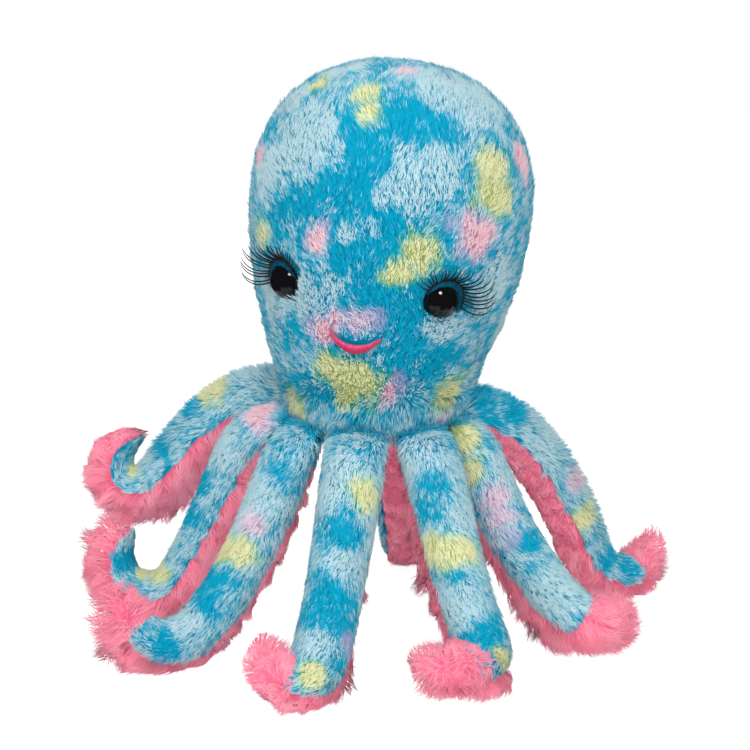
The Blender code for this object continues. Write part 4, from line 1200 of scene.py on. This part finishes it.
def clearings():
    """Places kept bare of pile, as a point on the skin, a radius and how far the pile parts."""
    found = []
    for side in SIDES:
        azimuth = eye_side(side)
        point, _, _, outward = head_frame(azimuth, EYE_HEIGHT)
        found.append((point - outward * PILE_DEPTH, EYE_RADIUS - 0.0005, 0.0010))
        for step in range(LID_CLEARINGS + 1):
            turn = LASH_START + (LASH_END - LASH_START) * step / LID_CLEARINGS
            spot, _, out = lash_seat(azimuth, turn)
            found.append((spot - out * PILE_DEPTH * 0.8, 0.0013, 0.0030))
    for step in range(SMILE_CLEARINGS + 1):
        centre, _, _, _, full = mouth_spot(2 * step / SMILE_CLEARINGS - 1.0, 0.0, -PILE_DEPTH)
        found.append((centre, MOUTH_THICKNESS / 2 * full - 0.0001, 0.0014))
    return found


def part_pile(points):
    """For each point the gap to the nearest clearing, how far the pile parts there, and the
    way it is pushed."""
    gap = np.full(len(points), 1.0)
    part = np.full(len(points), 0.001)
    push = np.zeros_like(points)
    for centre, radius, reach in clearings():
        away = points - np.array(centre)
        distance = np.linalg.norm(away, axis=1) - radius
        nearer = distance < gap
        gap = np.where(nearer, distance, gap)
        part = np.where(nearer, reach, part)
        push = np.where(nearer[:, None], unit(away), push)
    return gap, part, push


def trim_pile(points):
    """How far each point is under an eye, where the pile is full, and how far it is beside or
    over one, where the pile is trimmed."""
    under_eye = np.zeros(len(points))
    trim = np.zeros(len(points))
    for side in SIDES:
        point, _, upward, outward = head_frame(eye_side(side), EYE_HEIGHT)
        away = points - np.array(point - outward * PILE_DEPTH)
        ring = np.linalg.norm(away, axis=1)
        below = fade(0.55, 0.85, -(away @ np.array(upward)) / ring)
        near = fade(EYE_RADIUS + 0.0055, EYE_RADIUS + 0.0025, ring)
        under_eye = np.maximum(under_eye, near * below)
        near = fade(EYE_RADIUS + 0.0045, EYE_RADIUS + 0.0010, ring)
        trim = np.maximum(trim, near * (1 - below))
    return under_eye, trim


def make_head_pile(skin):
    """Pile of the head in four pieces, parted round the lids and the smile."""
    points, normals = scatter(skin.data, HEAD_STRANDS, 41)
    above = points[:, 2] > RING_HEIGHT - HEM_DROP + HEM_CLEARANCE
    points, normals = points[above], normals[above]
    spots = [(kind, head_point(math.radians(azimuth), height / 1000), radius / 1000)
             for kind, rows in HEAD_DYES.items() for azimuth, height, radius in rows]
    dye_and_shade_skin(skin, dye_of(corners_of(skin.data), spots, 51, *HEAD_FROST)[0])
    dye, chance = dye_of(points, spots, 51, *HEAD_FROST)
    axis = np.array([math.sin(HEAD_LEAN), 0.0, math.cos(HEAD_LEAN)])
    swirl = np.stack([ripple(points, 0.030, seed) for seed in (61, 62, 63)], axis=1)
    comb = unit(axis[None] + 0.35 * swirl)
    length = HEAD_PILE_LENGTH * (1 + 0.08 * ripple(points, 0.010, 64))
    height = points[:, 2] - RING_HEIGHT
    hem = fade(0.024, 0.003, height)
    comb = comb - axis[None] * (1.8 * hem)[:, None]
    tilt = 0.75 - 0.12 * hem - 1.3 * hem * (1 - hem)
    length = length * (1 + 0.25 * hem)

    gap, part, push = part_pile(points)
    under_eye, trim = trim_pile(points)
    close = fade(1.0, 0.0, gap / part) * (1 - under_eye)
    comb = comb * (1 - close)[:, None] + push * (1.2 * close)[:, None]
    length = length * (1 - 0.45 * close) * (1 - 0.38 * trim) * (1 + 0.22 * under_eye)
    tilt = tilt * (1 - 0.55 * under_eye)
    azimuth = np.arctan2(points[:, 0] - CENTRE.x - math.sin(HEAD_LEAN) * height,
                         -(points[:, 1] - CENTRE.y))
    quarters = (("back_left", -180, -90), ("front_left", -90, 0), ("front_right", 0, 90),
                ("back_right", 90, 181))
    for number, (name, low, high) in enumerate(quarters):
        here = (gap > 0) & (azimuth >= math.radians(low)) & (azimuth < math.radians(high))
        pile = grow("head_" + name + "_pile", PILE_SHAPE, points[here], normals[here],
                    comb[here], length[here], PILE_RADIUS, tilt[here], gather=0.40,
                    tuft_size=TUFT_SIZE, frost=chance[here], dye=dye[here], material=PILE,
                    body="head", seed=71 + number, wild=0.14)


make_head_pile(make_head_skin())
for side in SIDES:
    make_eye(side)
    make_lid(side)
    make_lashes(side)
make_mouth()
for number, name in enumerate(ARMS):
    make_arm(name, number)

# Finishes of the solids that stay
for name, obj in frame["nodes"].items():
    finish = None
    if name.endswith("stuffing"):
        finish = FILL
    elif name.startswith("eye_washer"):
        finish = WASHER
    elif name == "base_disc":
        finish = SHAG_BACKING
    if finish:
        obj.data.materials.clear()
        obj.data.materials.append(finish)


# Floor, light and camera

def seen_by_camera(tree):
    """1 for rays from the camera, straight or by a mirror or glass, else 0."""
    path = add_node(tree, "ShaderNodeLightPath").outputs
    total = path["Is Camera Ray"]
    for name in ("Is Glossy Ray", "Is Transmission Ray"):
        total = add_node(tree, "ShaderNodeMath", {0: total, 1: path[name]},
                         operation="MAXIMUM").outputs[0]
    return total


def finish_stage(tree, lit, seen, end):
    """Let rays from the camera meet one shader and all other rays the other."""
    mix = add_node(tree, "ShaderNodeMixShader", {
        0: seen_by_camera(tree), 1: lit.outputs[0], 2: seen.outputs[0]})
    add_node(tree, end, {0: mix.outputs[0]})


def make_floor():
    made = bpy.data.materials.new("pale_floor")
    made.use_nodes = True
    tree = made.node_tree
    tree.nodes.clear()
    lit = add_node(tree, "ShaderNodeBsdfDiffuse", {"Color": (0.88, 0.88, 0.88, 1.0)})
    matt = add_node(tree, "ShaderNodeBsdfDiffuse", {"Color": (0.35, 0.35, 0.35, 1.0)})
    glow = add_node(tree, "ShaderNodeEmission", {"Strength": 0.82})
    seen = add_node(tree, "ShaderNodeAddShader", {0: matt.outputs[0], 1: glow.outputs[0]})
    finish_stage(tree, lit, seen, "ShaderNodeOutputMaterial")
    maker = bmesh.new()
    bmesh.ops.create_circle(maker, cap_ends=True, segments=96, radius=FLOOR_RADIUS)
    put_mesh(maker, "floor", made)


def make_world():
    world = bpy.data.worlds.new("studio")
    bpy.context.scene.world = world
    world.use_nodes = True
    tree = world.node_tree
    tree.nodes.clear()
    lit, seen = (add_node(tree, "ShaderNodeBackground", {"Color": (1.0, 1.0, 1.0, 1.0),
                                                         "Strength": strength})
                 for strength in (0.66, 1.0))
    finish_stage(tree, lit, seen, "ShaderNodeOutputWorld")


def make_dark_room():
    """Dark room round a pale table that only mirrored rays see, so black plastic stays black."""
    profile = [(TABLE_RADIUS, FLOOR_LIFT), (ROOM_RADIUS, FLOOR_LIFT)]
    for step in range(1, ROOM_STEPS + 1):
        turn = math.pi / 2 * step / ROOM_STEPS
        radius = ROOM_RADIUS * math.cos(turn) if step < ROOM_STEPS else 0.0
        profile.append((radius, ROOM_RADIUS * math.sin(turn)))
    maker = turned(profile, steps=96)
    for vert in maker.verts:
        if vert.co.xy.length < 1.1 * TABLE_RADIUS:
            turn = math.atan2(vert.co.y, vert.co.x)
            edge = 1.0
            for size, count, start in TABLE_WAVES:
                edge += size * math.sin(count * turn + start)
            vert.co.x, vert.co.y = vert.co.x * edge, vert.co.y * edge
    made, tree, shader = new_material("dark_cloth", roughness=1.0, sheen=0.0, specular=0.0)
    set_inputs(tree, shader, {"Base Color": (0.01, 0.01, 0.01, 1.0)})
    room = put_mesh(maker, "dark_room", made)
    room.visible_camera = False
    room.visible_diffuse = False
    room.visible_transmission = False
    room.visible_shadow = False


TABLE_RADIUS = 0.21
TABLE_WAVES = ((0.24, 3, 0.6), (0.16, 8, 0.0), (0.08, 19, 0.0))
ROOM_RADIUS = 5.0
ROOM_STEPS = 12
FLOOR_RADIUS = 6.0
AIM = Vector((CENTRE.x, CENTRE.y, 0.111))
# Lamps: azimuth and elevation in degrees, distance, size, power and whether eyes mirror it
LAMPS = {"key_lamp": (17.0, 42.0, 1.1, 0.20, 3.8, False),
         "eye_light": (17.0, 43.0, 1.05, 0.30, 11.0, True),
         "left_softbox": (-45.0, 35.0, 1.4, 1.2, 5.5, False),
         "right_softbox": (75.0, 30.0, 1.5, 1.2, 4.0, False),
         "low_softbox": (8.0, 3.0, 1.6, 1.4, 9.0, False),
         "back_softbox": (195.0, 28.0, 1.5, 1.4, 10.0, False)}
VIEW_AZIMUTH = math.radians(11.5)
VIEW_ELEVATION = math.radians(10.0)
VIEW_DISTANCE = 0.80
LENS = 92.16
SENSOR_WIDTH = 36.0


def toward(azimuth, elevation):
    return Vector((math.sin(azimuth) * math.cos(elevation),
                   -math.cos(azimuth) * math.cos(elevation), math.sin(elevation)))


def aim_back(holder, way, distance):
    """Set a lamp or camera off at a distance one way from the aim, looking back at it."""
    holder.location = AIM + way * distance
    holder.rotation_euler = way.to_track_quat("Z", "Y").to_euler()


def add_lamp(name, azimuth, elevation, distance, size, power, mirrored):
    """Round soft lamp. A mirrored one lights only what is smooth enough to mirror it."""
    lamp = bpy.data.lights.new(name, "AREA")
    lamp.shape = "DISK"
    lamp.size = size
    lamp.energy = power
    holder = put_in_scene(name, lamp)
    aim_back(holder, toward(math.radians(azimuth), math.radians(elevation)), distance)
    holder.visible_glossy = mirrored
    holder.visible_diffuse = not mirrored


make_floor()
make_dark_room()
make_world()
for name, setting in LAMPS.items():
    add_lamp(name, *setting)

camera_data = bpy.data.cameras.new("camera")
camera_data.lens = LENS
camera_data.sensor_width = SENSOR_WIDTH
camera = put_in_scene("camera", camera_data)
aim_back(camera, toward(VIEW_AZIMUTH, VIEW_ELEVATION), VIEW_DISTANCE)
bpy.context.scene.camera = camera
bpy.context.scene.view_settings.view_transform = "Standard"

bpy.context.view_layer.update()
